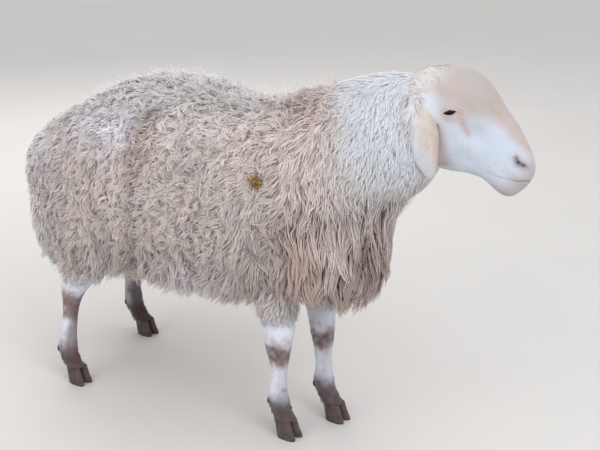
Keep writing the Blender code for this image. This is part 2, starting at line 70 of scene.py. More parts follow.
# Station, top, bottom, widest place, half width, roundness above and below. The trunk's stations run
# along y, those of neck, head and ear along their own lines, the tail's upwards. The ear has its
# front and rear edges for top and bottom, and no roundness. The tail has its back and front, as -y.
TRUNK = metres((
    (-170, 450, 414, 430, 18, 2, 2),
    (-165, 505, 362, 430, 60, 2.1, 2.2),
    (-153, 560, 344, 435, 92, 2.2, 2.3),
    (-125, 635, 336, 450, 126, 2.3, 2.4),
    (-80, 708, 328, 480, 152, 2.3, 2.4),
    (-5, 756, 319, 500, 172, 2.3, 2.5),
    (90, 747, 300, 510, 190, 2.3, 2.6),
    (200, 744, 288, 510, 203, 2.4, 2.6),
    (320, 766, 283, 510, 210, 2.4, 2.7),
    (430, 768, 283, 505, 212, 2.4, 2.8),
    (530, 737, 286, 490, 210, 2.4, 2.8),
    (600, 706, 294, 480, 204, 2.5, 2.6),
    (660, 674, 322, 480, 195, 2.6, 2.4),
    (715, 644, 374, 490, 179, 2.6, 2.3),
    (760, 612, 430, 505, 150, 2.4, 2.1),
    (788, 575, 475, 518, 106, 2.2, 2),
    (802, 542, 505, 522, 52, 2, 2),
    (805, 528, 516, 522, 16, 2, 2),
), 2)
NECK_FROM = np.array([0.000, 0.060, 0.570])
NECK_TO = np.array([0.100, -0.220, 0.730])
NECK = metres((
    (-60, 60, -60, 0, 50, 2, 2),
    (-30, 118, -130, 0, 110, 2, 2),
    (40, 160, -184, 0, 142, 2.1, 2.1),
    (130, 153, -172, -10, 138, 2.1, 2.1),
    (220, 140, -146, -10, 120, 2.1, 2.1),
    (270, 128, -136, -8, 103, 2.1, 2.1),
    (305, 119, -118, -6, 82, 2.1, 2.1),
    (335, 106, -96, -4, 62, 2.1, 2.1),
    (362, 78, -66, -2, 42, 2, 2),
    (375, 30, -26, 0, 18, 2, 2),
), 2)
HEAD = metres((
    (-86, 52, 16, 34, 18, 2, 2),
    (-74, 71, -12, 30, 40, 2.1, 2),
    (-45, 103, -44, 30, 57, 2.2, 2),
    (-5, 127, -76, 32, 67, 2.4, 2),
    (29, 130, -88, 34, 69, 2.5, 2),
    (63, 124, -83, 34, 61, 2.4, 2),
    (99, 113, -66, 34, 49, 2.3, 2.1),
    (138, 104, -41, 36, 41, 2.3, 2.2),
    (166, 94, -32, 34, 38, 2.3, 2.3),
    (190, 84, -32, 31, 37.2, 2.3, 2.3),
    (210, 74, -29, 28, 35.5, 2.3, 2.3),
    (224, 63, -22, 24, 31.5, 2.3, 2.2),
    (234, 49, -11, 20, 22.5, 2.1, 2.1),
    (239, 31, 6, 19, 8, 2, 2),
), 2)
EAR = metres((
    (-12, 10, -10, 0, 5),
    (-4, 18, -18, 0, 8.5),
    (18, 26, -25, 0, 9),
    (48, 33, -30, 0, 7.8),
    (80, 35, -29, 1, 6.8),
    (110, 33, -23, 2, 6.2),
    (138, 24, -15, 3, 5.6),
    (156, 13, -6, 3, 4.4),
    (162, 6, 0, 3, 2.2),
))
TAIL = metres((
    (222, -752, -722, -737, 20, 2, 2),
    (232, -772, -704, -738, 60, 2.1, 2.1),
    (262, -789, -690, -738, 104, 2.3, 2.2),
    (320, -802, -672, -736, 137, 2.4, 2.3),
    (400, -808, -658, -734, 154, 2.4, 2.3),
    (480, -806, -650, -728, 157, 2.3, 2.3),
    (550, -792, -640, -716, 144, 2.2, 2.2),
    (595, -764, -635, -700, 112, 2.1, 2.1),
    (622, -720, -640, -680, 60, 2, 2),
    (628, -690, -670, -680, 20, 2, 2),
), 2)
# Legs and thighs by height: front y, back y, middle y, half width, sideways place
LEGS = {
    "fore_right": metres((
        (40.4, -15, 33, 8, 23.2, -83),
        (55, -9.5, 44, 17, 20.8, -83),
        (75, -3, 52, 24, 21.2, -83),
        (92, 0.5, 54.5, 28, 21, -83),
        (117, 5, 51, 28, 17.2, -83),
        (152, 3, 51, 27, 18, -82),
        (185, -3, 57, 27, 25, -82),
        (212, -7, 64, 29, 30, -82),
        (240, -11, 68, 29, 31, -82),
        (275, -17, 75, 29, 37, -83),
        (315, -28, 86, 29, 48, -85),
        (360, -32, 90, 29, 52, -87),
    )),
    "fore_left": metres((
        (40.4, -52, -2, -26, 23.2, 51),
        (55, -40, 13, -13, 20.8, 51),
        (75, -29, 24, -2, 21.2, 51),
        (92, -27, 27, 1, 21, 51),
        (117, -23, 25, 2, 17.2, 52),
        (152, -21, 30, 5, 18, 53),
        (185, -24, 37, 7, 25, 55),
        (212, -24, 44, 10, 30, 57),
        (240, -22, 49, 13, 31, 59),
        (275, -23, 59, 17, 37, 62),
        (315, -29, 76, 22, 48, 66),
        (360, -32, 83, 25, 52, 70),
    )),
    "hind_right": metres((
        (40.4, 570, 623, 596, 22.2, -169),
        (55, 582, 638, 611, 20, -169),
        (75, 590, 647, 619, 20.5, -169),
        (92, 592.5, 649, 621, 20.5, -168),
        (122, 590, 643, 616, 17, -167),
        (165, 584, 637, 610, 17.5, -165),
        (205, 574, 634, 605, 21, -163),
        (238, 558, 634.5, 601, 26, -161),
        (262, 536, 629, 588, 31, -160),
        (285, 515, 625, 572, 36, -158),
        (305, 504, 625, 568, 39, -156),
        (360, 490, 620, 556, 48, -150),
    )),
    "hind_left": metres((
        (40.4, 654, 707, 680, 22.2, 155),
        (55, 669, 724, 697, 20, 155),
        (75, 681, 738, 710, 20.5, 155),
        (92, 685, 743, 714, 20.5, 155),
        (122, 686, 744, 713, 17, 154),
        (165, 685, 743, 712, 17.5, 153),
        (205, 678, 742, 710, 21, 151),
        (238, 662, 742, 705, 26, 149),
        (262, 638, 735, 690, 31, 147),
        (285, 614, 723, 670, 36, 145),
        (305, 600, 718, 662, 39, 144),
        (360, 575, 705, 640, 48, 140),
    )),
}
THIGHS = {
    "right": metres((
        (300, 501, 636, 571, 42, -158),
        (305, 494, 642, 569, 50, -157),
        (335, 480, 650, 566, 60, -152),
        (390, 460, 655, 558, 71, -141),
        (470, 445, 656, 550, 74, -130),
        (550, 445, 640, 540, 64, -118),
        (600, 460, 610, 530, 40, -105),
        (610, 520, 540, 530, 10, -100),
    )),
    "left": metres((
        (300, 590, 722, 660, 42, 146),
        (305, 582, 730, 658, 50, 145),
        (335, 560, 738, 652, 60, 143),
        (390, 530, 738, 636, 71, 136),
        (470, 500, 724, 616, 74, 127),
        (550, 480, 694, 590, 64, 117),
        (600, 470, 650, 560, 40, 105),
        (610, 550, 570, 560, 10, 100),
    )),
}
# A claw by height: toe and heel from the leg's front, middle, share of the half width
CLAW = metres((
    (0, -13, 35, 12, 1),
    (5, -12.5, 36, 12, 1.02),
    (20, -6, 38.5, 16, 1),
    (40, 2, 42, 21, 0.94),
), 1)
LEG_ROUNDNESS = 2.1

# ---------- frames of the body and head
LEFT = np.array([1.0, 0.0, 0.0])
BACK = np.array([0.0, 1.0, 0.0])
UP = np.array([0.0, 0.0, 1.0])
HEAD_YAW = math.radians(27.0)
HEAD_PITCH = math.radians(40.0)
FACE_FORWARD = np.array([math.sin(HEAD_YAW), -math.cos(HEAD_YAW), 0.0])
FACE_LEFT = np.array([math.cos(HEAD_YAW), math.sin(HEAD_YAW), 0.0])
FACE_ALONG = math.cos(HEAD_PITCH) * FACE_FORWARD - math.sin(HEAD_PITCH) * UP
FACE_DORSAL = math.sin(HEAD_PITCH) * FACE_FORWARD + math.cos(HEAD_PITCH) * UP
HEAD_HEIGHT = 0.730                 # of the pivot that the head is placed from
HEAD_REACH = 0.130                  # from the pivot forward to the head's own origin
FACE_ORIGIN = np.array([0.050, -0.120, HEAD_HEIGHT]) + HEAD_REACH * FACE_FORWARD
EYE = np.array([0.012, 0.040, 0.0570])       # along the head, across it, out from its mid-plane
EYE_RADIUS = 0.0142
EAR_BASE = (0.098, 0.776, 0.073)             # forward of the pivot, height, out from the mid-plane
EAR_LENGTH = 0.162
EAR_SWEEP = 0.16
EAR_CUP = 0.014
EAR_BOW = 0.010


def face_point(along, dorsal, outward):
    """Drawing-frame place of a point given in the head's own directions (outward to the left)."""
    return (
        FACE_ORIGIN
        + np.multiply.outer(along, FACE_ALONG)
        + np.multiply.outer(dorsal, FACE_DORSAL)
        + np.multiply.outer(outward, FACE_LEFT)
    )


def to_face(points):
    """The head's own coordinates (along, dorsal, left) of drawing-frame points."""
    return (points - FACE_ORIGIN) @ np.stack([FACE_ALONG, FACE_DORSAL, FACE_LEFT], axis=1)


def middle_of(node):
    """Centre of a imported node's box."""
    low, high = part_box(node)
    return (np.asarray(low) + np.asarray(high)) / 2.0


MOVE = middle_of("eye_right") - face_point(EYE[0], EYE[1], -EYE[2])


# ---------- reading tables and forms
def rounded(t):
    """Smooth rise from 0 to 1 while t goes from 0 to 1."""
    return t * t * (3.0 - 2.0 * t)


def radial_gap(across, upward, size):
    """Distance outside an oval along the line to its middle, from its size there, 1 on the oval."""
    radius = np.sqrt(across**2 + upward**2)
    return radius - radius / np.maximum(size, 1e-6)


def read_table(table, places):
    """Monotone cubic reading of a station table at the places asked for."""
    knots, values = table[:, 0], table[:, 1:]
    step = np.diff(knots)[:, None]
    slope = np.diff(values, axis=0) / step
    tangent = np.zeros_like(values)
    tangent[0] = slope[0]
    tangent[-1] = slope[-1]
    before = 2.0 * step[1:] + step[:-1]
    after = step[1:] + 2.0 * step[:-1]
    same_way = slope[:-1] * slope[1:] > 0.0
    lower = np.where(same_way, slope[:-1], 1.0)
    upper = np.where(same_way, slope[1:], 1.0)
    tangent[1:-1] = np.where(same_way, (before + after) / (before / lower + after / upper), 0.0)
    cell = np.clip(np.searchsorted(knots, places, side="right") - 1, 0, len(knots) - 2)
    width = step[cell]
    t = (np.asarray(places)[:, None] - knots[cell][:, None]) / width
    rise = rounded(t)
    leave = t * (1.0 - t) ** 2
    arrive = t * t * (t - 1.0)
    curved = leave * tangent[cell] + arrive * tangent[cell + 1]
    return values[cell] * (1.0 - rise) + values[cell + 1] * rise + curved * width


def upright(table):
    """A leg's rows (height, front, back, middle, half, shift) as a form's rows, front upwards."""
    power = np.full(len(table), LEG_ROUNDNESS)
    columns = (table[:, 0], -table[:, 1], -table[:, 2], -table[:, 3], table[:, 4], power, power)
    return np.stack([*columns, table[:, 5]], axis=1)


class Form:
    """A loft read as a distance: how far a point lies outside the section at its station.

    The section is |across/half|^p + |up/reach|^p = 1. The distance is taken along the line to the
    section's middle, and the coat's depth is first taken off half and reach.
    """

    SAMPLES = 300
    THINNEST = 0.002                # least half width left when the coat's depth is taken off

    def __init__(self, table, origin, side, up, along, depth):
        self.places = np.linspace(table[0, 0], table[-1, 0], self.SAMPLES)
        shift = np.zeros(self.SAMPLES)          # for tables without sideways places
        self.columns = np.vstack([read_table(table, self.places).T, shift])[:7]
        self.origin = origin
        self.axes = np.stack([side, up, along])
        self.depth = depth

    def local(self, x, y, z):
        """Across, up and along coordinates of points in this form's own frame."""
        x = x - self.origin[0]
        y = y - self.origin[1]
        z = z - self.origin[2]
        return [x * v[0] + y * v[1] + z * v[2] for v in self.axes]

    def distance(self, x, y, z):
        """Distance outside the form, its coat's depth taken off."""
        across, upward, station = self.local(x, y, z)
        high, low, middle, half, power_high, power_low, shift = (
            np.interp(station, self.places, column) for column in self.columns
        )
        depth = np.interp(station, self.depth[:, 0], self.depth[:, 1])
        across = across - shift
        upward = upward - middle
        above = upward >= 0.0
        reach = np.where(above, high - middle, middle - low) - depth
        half = half - depth
        power = np.where(above, power_high, power_low)
        shortfall = np.maximum(-np.minimum(reach, half), 0.0)
        reach = np.maximum(reach, self.THINNEST)
        half = np.maximum(half, self.THINNEST)
        size = (np.abs(across / half) ** power + np.abs(upward / reach) ** power) ** (1.0 / power)
        ends = np.maximum(self.places[0] - station, station - self.places[-1])
        return np.maximum(radial_gap(across, upward, size), ends) + shortfall

    def unwrap(self, points):
        """Round-the-form angle and along-the-form station of points, each 0 to 1."""
        across, upward, station = self.local(*points.T)
        middle = np.interp(station, self.places, self.columns[2])
        shift = np.interp(station, self.places, self.columns[6])
        angle = np.arctan2(upward - middle, across - shift) / math.tau + 0.5
        run = (station - self.places[0]) / (self.places[-1] - self.places[0])
        return np.stack([np.clip(run, 0.0, 1.0), angle], axis=1)


def neck_frame():
    """Origin, side, up and along vectors of the neck."""
    along = NECK_TO - NECK_FROM
    along = along / np.linalg.norm(along)
    side = -np.cross(along, UP)
    side = side / np.linalg.norm(side)
    up = np.cross(side, along)
    return NECK_FROM, side, up if up[2] > 0.0 else -up, along


def every(depth):
    """The same coat depth all along a form."""
    return np.array([[0.0, depth], [1.0, depth]])


ZERO = np.zeros(3)
TAIL_WOOL = 0.020                   # depths of the wool and hair
THIGH_WOOL = 0.019
HEAD_HAIR = 0.0018
TRUNK_COAT = metres(((-170, 36), (-80, 30), (50, 16), (800, 15)))
NECK_COAT = metres(((0, 26), (200, 14), (300, 12), (360, 9)))
TRUNK_FORM = Form(TRUNK, ZERO, LEFT, UP, BACK, TRUNK_COAT)
NECK_FORM = Form(NECK, *neck_frame(), NECK_COAT)
TAIL_FORM = Form(TAIL[:, [0, 2, 1, 3, 4, 6, 5]], ZERO, LEFT, -BACK, UP, every(TAIL_WOOL))
THIGH_FORMS = {
    side: Form(upright(rows), ZERO, LEFT, -BACK, UP, every(THIGH_WOOL)) for side, rows in THIGHS.items()
}
LEG_COAT = metres((
    (100, 1.8), (140, 3.2), (180, 5), (215, 5), (250, 2.8), (285, 6), (315, 16), (360, 22),
))
LEG_FORMS = {
    name: Form(upright(rows), ZERO, LEFT, -BACK, UP, LEG_COAT) for name, rows in LEGS.items()
}
HEAD_FORM = Form(HEAD, ZERO, UP, BACK, LEFT, every(HEAD_HAIR))
HEAD_PLACED = Form(HEAD, FACE_ORIGIN, FACE_LEFT, FACE_DORSAL, FACE_ALONG, every(0.0))
EAR_PLACES = np.linspace(EAR[0, 0], EAR[-1, 0], 200)
EAR_TABLE = read_table(EAR, EAR_PLACES).T


def soft_min(a, b, blend):
    """Union of two distances with a fillet of the given width."""
    near = np.maximum(blend - np.abs(a - b), 0.0) / blend
    return np.minimum(a, b) - near * near * blend * 0.25


def soft_max(a, b, blend):
    """Intersection of two distances with a rounded edge of the given width."""
    return -soft_min(-a, -b, blend)


def egg(x, y, z, centre, radii):
    """Distance outside an ellipsoid, near enough close to its surface."""
    size = np.sqrt(
        ((x - centre[0]) / radii[0]) ** 2
        + ((y - centre[1]) / radii[1]) ** 2
        + ((z - centre[2]) / radii[2]) ** 2
    )
    return (size - 1.0) * min(radii)


def rod(x, y, z, start, end, radius):
    """Distance outside a round-ended rod from start to end."""
    start = np.asarray(start, float)
    run = np.asarray(end, float) - start
    t = ((x - start[0]) * run[0] + (y - start[1]) * run[1] + (z - start[2]) * run[2]) / (run @ run)
    t = np.clip(t, 0.0, 1.0)
    gap = (x - start[0] - t * run[0]) ** 2 + (y - start[1] - t * run[1]) ** 2
    return np.sqrt(gap + (z - start[2] - t * run[2]) ** 2) - radius


# ---------- distances to the skin
BODY_FORMS = (TRUNK_FORM, NECK_FORM, TAIL_FORM, THIGH_FORMS["right"], THIGH_FORMS["left"])
TAIL_PLACE = 2                      # the tail's place among them
FOLD_DEPTH = 0.013                  # of the folds before the thigh and behind the elbow


def body_distances(x, y, z):
    """Distances to the trunk, neck, tail and thighs under their wool."""
    return [form.distance(x, y, z) for form in BODY_FORMS]


def bell(value, width):
    """Smooth hump over a value: 1 where it is nought, 1/e at the width."""
    return np.exp(-((value / width) ** 2))


def fold_share(y, z):
    """How deep a place lies in the folds before the thigh and behind the elbow, 0 to 1."""
    thigh = 0.350 + 0.030 * np.clip((0.52 - z) / 0.16, 0.0, 1.0)
    thigh = thigh + 0.006 * np.sin(z * 46.0) + 0.003 * np.sin(z * 117.0)
    elbow = 0.085 - 0.10 * np.clip((z - 0.36) / 0.20, 0.0, 1.0)
    low = 1.0 - np.clip((z - 0.50) / 0.16, 0.0, 1.0)
    front = 0.6 * bell(y - elbow, 0.018) * (1.0 - np.clip((z - 0.44) / 0.14, 0.0, 1.0))
    return bell(y - thigh, 0.018) * low + front


def body_skin(x, y, z):
    """Trunk, neck, tail and thighs joined with fillets."""
    trunk, neck, tail, right, left = body_distances(x, y, z)
    joined = soft_min(trunk, neck, 0.05)
    joined = soft_min(joined, tail, 0.02)
    joined = soft_min(soft_min(joined, right, 0.03), left, 0.03)
    return joined + FOLD_DEPTH * fold_share(y, z) * (np.abs(x) > 0.10)


def leg_skin(form):
    """A leg's skin: its form with the hollows beside the tendons and the bulge of the fetlock."""

    def distance(x, y, z):
        upward, station = form.local(x, y, z)[1:]
        middle = np.interp(station, form.places, form.columns[2])
        low = np.interp(station, form.places, form.columns[1])
        tendon = upward - (middle + 0.52 * (low - middle))
        hollow = 0.0022 * bell(station - 0.140, 0.030) * bell(tendon, 0.0050)
        heel = 0.0016 * bell(station - 0.062, 0.010)
        return form.distance(x, y, z) + hollow + heel * bell(tendon, 0.010)

    return distance


def lid_coordinates(along, dorsal):
    """Level and upright coordinates on the eye, measured from its centre."""
    cos, sin = math.cos(HEAD_PITCH), math.sin(HEAD_PITCH)
    level = (along - EYE[0]) * cos + (dorsal - EYE[1]) * sin
    return level, -(along - EYE[0]) * sin + (dorsal - EYE[1]) * cos


def from_eye(along, dorsal, out):
    """Distance from the middle of the eye."""
    return np.sqrt((along - EYE[0]) ** 2 + (dorsal - EYE[1]) ** 2 + (out - EYE[2]) ** 2)


LID_HALF_LENGTH = 0.0142
LID_UPPER = 0.0062
LID_LOWER = 0.0042
LID_TILT = 0.16
LID_DEPTH = 0.0022                  # how far the lids' mound stands over the ball


def lid_gap(level, raised):
    """Distance outside the almond between the lids: two shallow arcs meeting at the corners."""
    share = np.clip(level / LID_HALF_LENGTH, -1.2, 1.2)
    arc = np.maximum(1.0 - share * share, -0.5)
    height = raised - LID_TILT * level
    return np.maximum(height - LID_UPPER * arc, -height - LID_LOWER * arc)


# Lines on the head's side view, as (along, dorsal)
MOUTH_LINE = ((0.155, -0.0100), (0.180, -0.0010), (0.2128, 0.0177), (0.2290, 0.0325), (0.2440, 0.0370))
NOSTRIL_LINE = ((0.178, 0.053), (0.188, 0.047), (0.199, 0.052))
TEAR_LINE = ((0.028, 0.052), (0.046, 0.040), (0.070, 0.028))
JAW_LINE = ((0.000, 0.006), (0.018, -0.008), (0.042, -0.026), (0.062, -0.040), (0.078, -0.056))
HORN_PIT_LINE = ((-0.055, 0.070), (-0.048, 0.070))
SPECK_LINE = ((-0.062, 0.052), (-0.060, 0.052))


def from_line(along, dorsal, line):
    """Distance from a broken line drawn on the head's side view."""
    best = np.full(np.broadcast(along, dorsal).shape, 1.0)
    for (a0, d0), (a1, d1) in zip(line[:-1], line[1:]):
        run_a, run_d = a1 - a0, d1 - d0
        t = ((along - a0) * run_a + (dorsal - d0) * run_d) / (run_a**2 + run_d**2)
        t = np.clip(t, 0.0, 1.0)
        best = np.minimum(best, np.hypot(along - a0 - t * run_a, dorsal - d0 - t * run_d))
    return best


def ear_place(along, dorsal):
    """A point's place on the ear's side view: forward of its middle line, and down from its base."""
    forward = along * math.cos(HEAD_PITCH) + dorsal * math.sin(HEAD_PITCH) + HEAD_REACH
    down = EAR_BASE[1] - HEAD_HEIGHT + along * math.sin(HEAD_PITCH) - dorsal * math.cos(HEAD_PITCH)
    return forward - EAR_BASE[0] - EAR_SWEEP * down, down


def ear_skin(along, dorsal, out):
    """The hanging ear: a thin curled leaf, its section an oval bent towards the neck."""
    edge, down = ear_place(along, dorsal)
    front, back, middle, half = (np.interp(down, EAR_PLACES, column) for column in EAR_TABLE)
    bend = EAR_CUP * ((edge - (front + back) / 2.0) / 0.038) ** 2
    bow = EAR_BOW * np.sin(np.clip(down / EAR_LENGTH, 0.0, 1.0) * math.pi)
    crease = 0.0030 * bell(edge - 0.006 + 0.10 * down, 0.007) * bell(down, 0.07)
    across = out - EAR_BASE[2] + bend - bow + 0.011 * bell(down, 0.026) + crease
    edge = edge + 0.0022 * np.sin(down * 62.0 + 0.8) * ease(down, 0.02, 0.05)
    half = half + 0.0022 * bell(front - edge - 0.006, 0.005) * ease(down, 0.0, 0.03)
    offset = edge - middle
    reach = np.maximum(np.where(offset >= 0.0, front - middle, middle - back) - 0.0016, 0.001)
    half = np.maximum(half - HEAD_HAIR, 0.0016)
    size = np.sqrt((across / half) ** 2 + (offset / reach) ** 2)
    ends = np.maximum(EAR_PLACES[0] - down, down - EAR_PLACES[-1])
    return np.maximum(radial_gap(across, offset, size), ends)


# Bones and hollows of the face, in working order: 1 raised or -1 hollowed, shape, its sizes, blend
FACE_FORMS = (
    (1.0, egg, ((0.034, -0.036, 0.036), (0.044, 0.040, 0.025)), 0.016),           # cheek
    (1.0, rod, ((-0.004, 0.018, 0.056), (0.070, 0.008, 0.040), 0.009), 0.014),    # cheekbone
    (1.0, egg, ((0.000, 0.062, 0.051), (0.024, 0.013, 0.014)), 0.014),            # brow
    (-1.0, egg, ((0.100, 0.036, 0.074), (0.050, 0.022, 0.026)), 0.014),           # before the eye
    (-1.0, egg, ((0.122, -0.020, 0.070), (0.036, 0.018, 0.028)), 0.014),          # over the jaw
    (1.0, egg, ((0.196, 0.060, 0.0235), (0.018, 0.014, 0.0135)), 0.010),          # nostril's wing
    (1.0, egg, ((0.202, 0.030, 0.0200), (0.026, 0.012, 0.0165)), 0.010),          # upper lip
    (1.0, egg, ((0.205, -0.006, 0.0130), (0.026, 0.020, 0.0200)), 0.010),         # chin
)
NOSTRIL_BEND = (0.1855, 0.0470, 0.0375)
HORN_PIT = ((-0.0515, 0.0700, 0.056), (0.0060, 0.0030, 0.008))


def head_skin(along, dorsal, outward):
    """Skull, cheeks, brows, lids, nostrils, lips and ears, the same on both sides."""
    out = np.abs(outward)
    skin = HEAD_FORM.distance(along, dorsal, outward)
    for sign, shape, sizes, blend in FACE_FORMS:
        skin = sign * soft_min(sign * skin, shape(along, dorsal, out, *sizes), blend)
    nostril = rod(along, dorsal, out, (0.1775, 0.0545, 0.0370), NOSTRIL_BEND, 0.0032)
    nostril = np.minimum(nostril, rod(along, dorsal, out, NOSTRIL_BEND, (0.2000, 0.0520, 0.0325), 0.0036))
    inner = rod(along, dorsal, out, (0.1900, 0.0500, 0.0360), (0.1870, 0.0500, 0.0290), 0.0026)
    skin = soft_max(skin, -soft_min(nostril, inner, 0.005), 0.004)
    lips = from_line(along, dorsal, MOUTH_LINE)
    skin = skin + (0.0014 + 0.0014 * ease(along, 0.190, 0.225)) * bell(lips, 0.0022)
    cleft = bell(outward, 0.0022) * bell(along - 0.236, 0.012)
    skin = skin + 0.0022 * cleft * bell(dorsal - 0.050, 0.010)
    # lids: a mound over the ball, a fold above it, a bag below it, and the opening
    ball = from_eye(along, dorsal, out)
    level, raised = lid_coordinates(along, dorsal)
    skin = soft_min(skin, ball - EYE_RADIUS - LID_DEPTH, 0.010)
    fold = raised - LID_TILT * level - 0.0088 * (1.0 - (level / 0.022) ** 2)
    near_eye = np.exp(-((ball / 0.024) ** 4))
    skin = skin + 0.0016 * near_eye * bell(fold, 0.0013)
    bag = raised - LID_TILT * level + 0.0086 * (1.0 - (level / 0.024) ** 2)
    skin = skin + 0.0012 * near_eye * bell(bag, 0.0014)
    opening = np.maximum(lid_gap(level, raised), EYE[2] + 0.004 - out)
    skin = soft_max(skin, -opening, 0.0014)
    skin = soft_max(skin, -egg(along, dorsal, out, *HORN_PIT), 0.004)
    root = bell(ear_place(along, dorsal)[1], 0.030)
    return soft_min(skin, ear_skin(along, dorsal, out), 0.009 + 0.022 * root)


# ---------- from a distance to a surface
def axis_points(spans):
    """Grid coordinates through spans (start, end, spacing) laid end to end."""
    parts = []
    for start, end, spacing in spans:
        count = max(int(round((end - start) / spacing)), 1)
        parts.append(start + (end - start) * np.arange(count) / count)
    parts.append(np.array([spans[-1][1]]))
    return np.concatenate(parts)


def net_surface(values, axes):
    """Triangles of the zero surface of gridded values.

    Every cell that the surface crosses gets one point, the mean of its edges' crossings, and each
    crossed edge joins the points of its four cells.
    """
    shape = np.array(values.shape)
    strides = np.array([shape[1] * shape[2], shape[2], 1])
    owners = []
    crossings = []
    corners = []
    for axis in range(3):
        first = [slice(None)] * 3
        second = [slice(None)] * 3
        first[axis] = slice(0, -1)
        second[axis] = slice(1, None)
        low = values[tuple(first)]
        high = values[tuple(second)]
        place = np.array(np.nonzero((low < 0.0) != (high < 0.0)))
        before = low[tuple(place)]
        after = high[tuple(place)]
        share = before / (before - after)
        point = np.stack([axes[k][place[k]] for k in range(3)], axis=1)
        step = axes[axis][place[axis] + 1] - axes[axis][place[axis]]
        point[:, axis] += share * step
        one, two = (axis + 1) % 3, (axis + 2) % 3
        base = place.T @ strides
        ring = [base - strides[one] - strides[two], base - strides[two], base, base - strides[one]]
        ring = np.stack(ring, axis=1)
        inwards = before >= 0.0
        ring[inwards] = ring[inwards][:, ::-1]
        owners.append(ring.ravel())
        crossings.append(np.repeat(point, 4, axis=0))
        corners.append(ring)
    owners = np.concatenate(owners)
    crossings = np.concatenate(crossings)
    cells, index = np.unique(owners, return_inverse=True)
    count = np.bincount(index)
    points = np.stack([np.bincount(index, crossings[:, k]) / count for k in range(3)], axis=1)
    quads = np.searchsorted(cells, np.concatenate(corners))
    triangles = np.concatenate([quads[:, [0, 1, 2]], quads[:, [0, 2, 3]]])
    return points, triangles


PROBE = 0.0004                      # step for the distance's slope
LONGEST_SLIDE = 0.002


def settle(points, distance, rounds=3):
    """Slide points onto the zero surface along the distance's slope; returns outward normals too."""
    for _ in range(rounds):
        value = distance(*points.T)
        slope = np.stack([
            distance(*(points + offset).T) - distance(*(points - offset).T)
            for offset in PROBE * np.eye(3)
        ], axis=1) / (2.0 * PROBE)
        size = np.maximum((slope**2).sum(axis=1), 0.05)
        shift = (value / size)[:, None] * slope
        length = np.linalg.norm(shift, axis=1, keepdims=True)
        points = points - shift * np.minimum(1.0, LONGEST_SLIDE / np.maximum(length, 1e-9))
    return points, unit(slope)


def relax(points, triangles, rounds):
    """Even out a surface: every point moves half way to the mean of its neighbours."""
    pairs = np.concatenate([triangles[:, [0, 1]], triangles[:, [1, 2]], triangles[:, [2, 0]]])
    pairs = np.concatenate([pairs, pairs[:, ::-1]])
    count = np.bincount(pairs[:, 0], minlength=len(points))[:, None]
    for _ in range(rounds):
        mean = np.stack(
            [np.bincount(pairs[:, 0], points[pairs[:, 1], k], len(points)) for k in range(3)], axis=1
        )
        points = 0.5 * points + 0.5 * mean / count
    return points


def shell(distance, spans, rounds=1):
    """Points, triangles and normals of one skin shell over a box of grid spans."""
    axes = [axis_points(span) for span in spans]
    grid = np.meshgrid(*axes, indexing="ij", sparse=True)
    values = distance(*grid)
    points, triangles = net_surface(values, axes)
    points = relax(points, triangles, rounds)
    points, normals = settle(points, distance)
    return points, triangles, normals


# ---------- noise and masks
def lattice(ix, iy, iz, seed):
    """Repeatable number from 0 to 1 for each whole-number place."""
    mixed = (ix * 73856093) ^ (iy * 19349663) ^ (iz * 83492791) ^ (seed * 40503 + 977)
    mixed = (mixed ^ (mixed >> 13)) * 1274126177
    mixed = mixed ^ (mixed >> 16)
    return (mixed & 0xFFFFF) / float(0xFFFFF)


def noise(points, size, seed):
    """Smooth noise from -1 to 1: eased blend of lattice numbers over cells of one size."""
    place = points / size
    cell = np.floor(place).astype(np.int64)
    t = rounded(place - cell)
    total = 0.0
    for dx in (0, 1):
        wx = t[:, 0] if dx else 1.0 - t[:, 0]
        for dy in (0, 1):
            wy = t[:, 1] if dy else 1.0 - t[:, 1]
            for dz in (0, 1):
                wz = t[:, 2] if dz else 1.0 - t[:, 2]
                total = total + wx * wy * wz * lattice(
                    cell[:, 0] + dx, cell[:, 1] + dy, cell[:, 2] + dz, seed
                )
    return 2.0 * total - 1.0


def cloud(points, size, seed):
    """Three octaves of noise, about -1 to 1."""
    return (
        noise(points, size, seed)
        + 0.5 * noise(points, size / 2.1, seed + 1)
        + 0.25 * noise(points, size / 4.3, seed + 2)
    ) / 1.5


def ease(value, start, end):
    """Smooth step from 0 at start to 1 at end."""
    return rounded(np.clip((value - start) / (end - start), 0.0, 1.0))


def spot(places, centre, radii):
    """Soft round spot, 1 in its middle: places are in space or on the head's side view."""
    return np.exp(-1.2 * (((places - centre) / radii) ** 2).sum(axis=1))


def unit(vectors):
    """Vectors scaled to length one."""
    return vectors / np.maximum(np.linalg.norm(vectors, axis=-1, keepdims=True), 1e-9)


def linear(red, green, blue):
    """Linear colour from eight-bit display values."""
    value = np.array([red, green, blue]) / 255.0
    return np.where(value <= 0.04045, value / 12.92, ((value + 0.055) / 1.055) ** 2.4)


def toward(colour, other, share):
    """Colours moved towards another by a share per point."""
    share = np.clip(share, 0.0, 1.0)[:, None]
    return colour * (1.0 - share) + other * share


def painted(base, count, layers):
    """A base colour at each point, with (colour, share at each point) layers laid over it in turn."""
    colour = np.tile(base, (count, 1))
    for tint, share in layers:
        colour = toward(colour, tint, share)
    return colour


# ---------- markings, shared by skin and coat
FLEECE = linear(229, 215, 209)
FLEECE_LOW = linear(210, 196, 191)
FLEECE_TOP = linear(226, 221, 221)
RUFF = linear(180, 158, 150)
NECK_WHITE = linear(240, 241, 246)
TAIL_CREAM = linear(240, 237, 238)
PINK_WOOL = linear(202, 168, 158)
CLEAN_WOOL = linear(246, 242, 254)
POLL_WOOL = linear(206, 201, 199)
# soil colour, also used as painted shade in folds, a crevice, the lower chest and under the belly
SOIL_AND_SHADE = linear(128, 108, 98)
RUFF_DEEP_SHADE = linear(104, 81, 72)
BLUISH = linear(182, 186, 194)
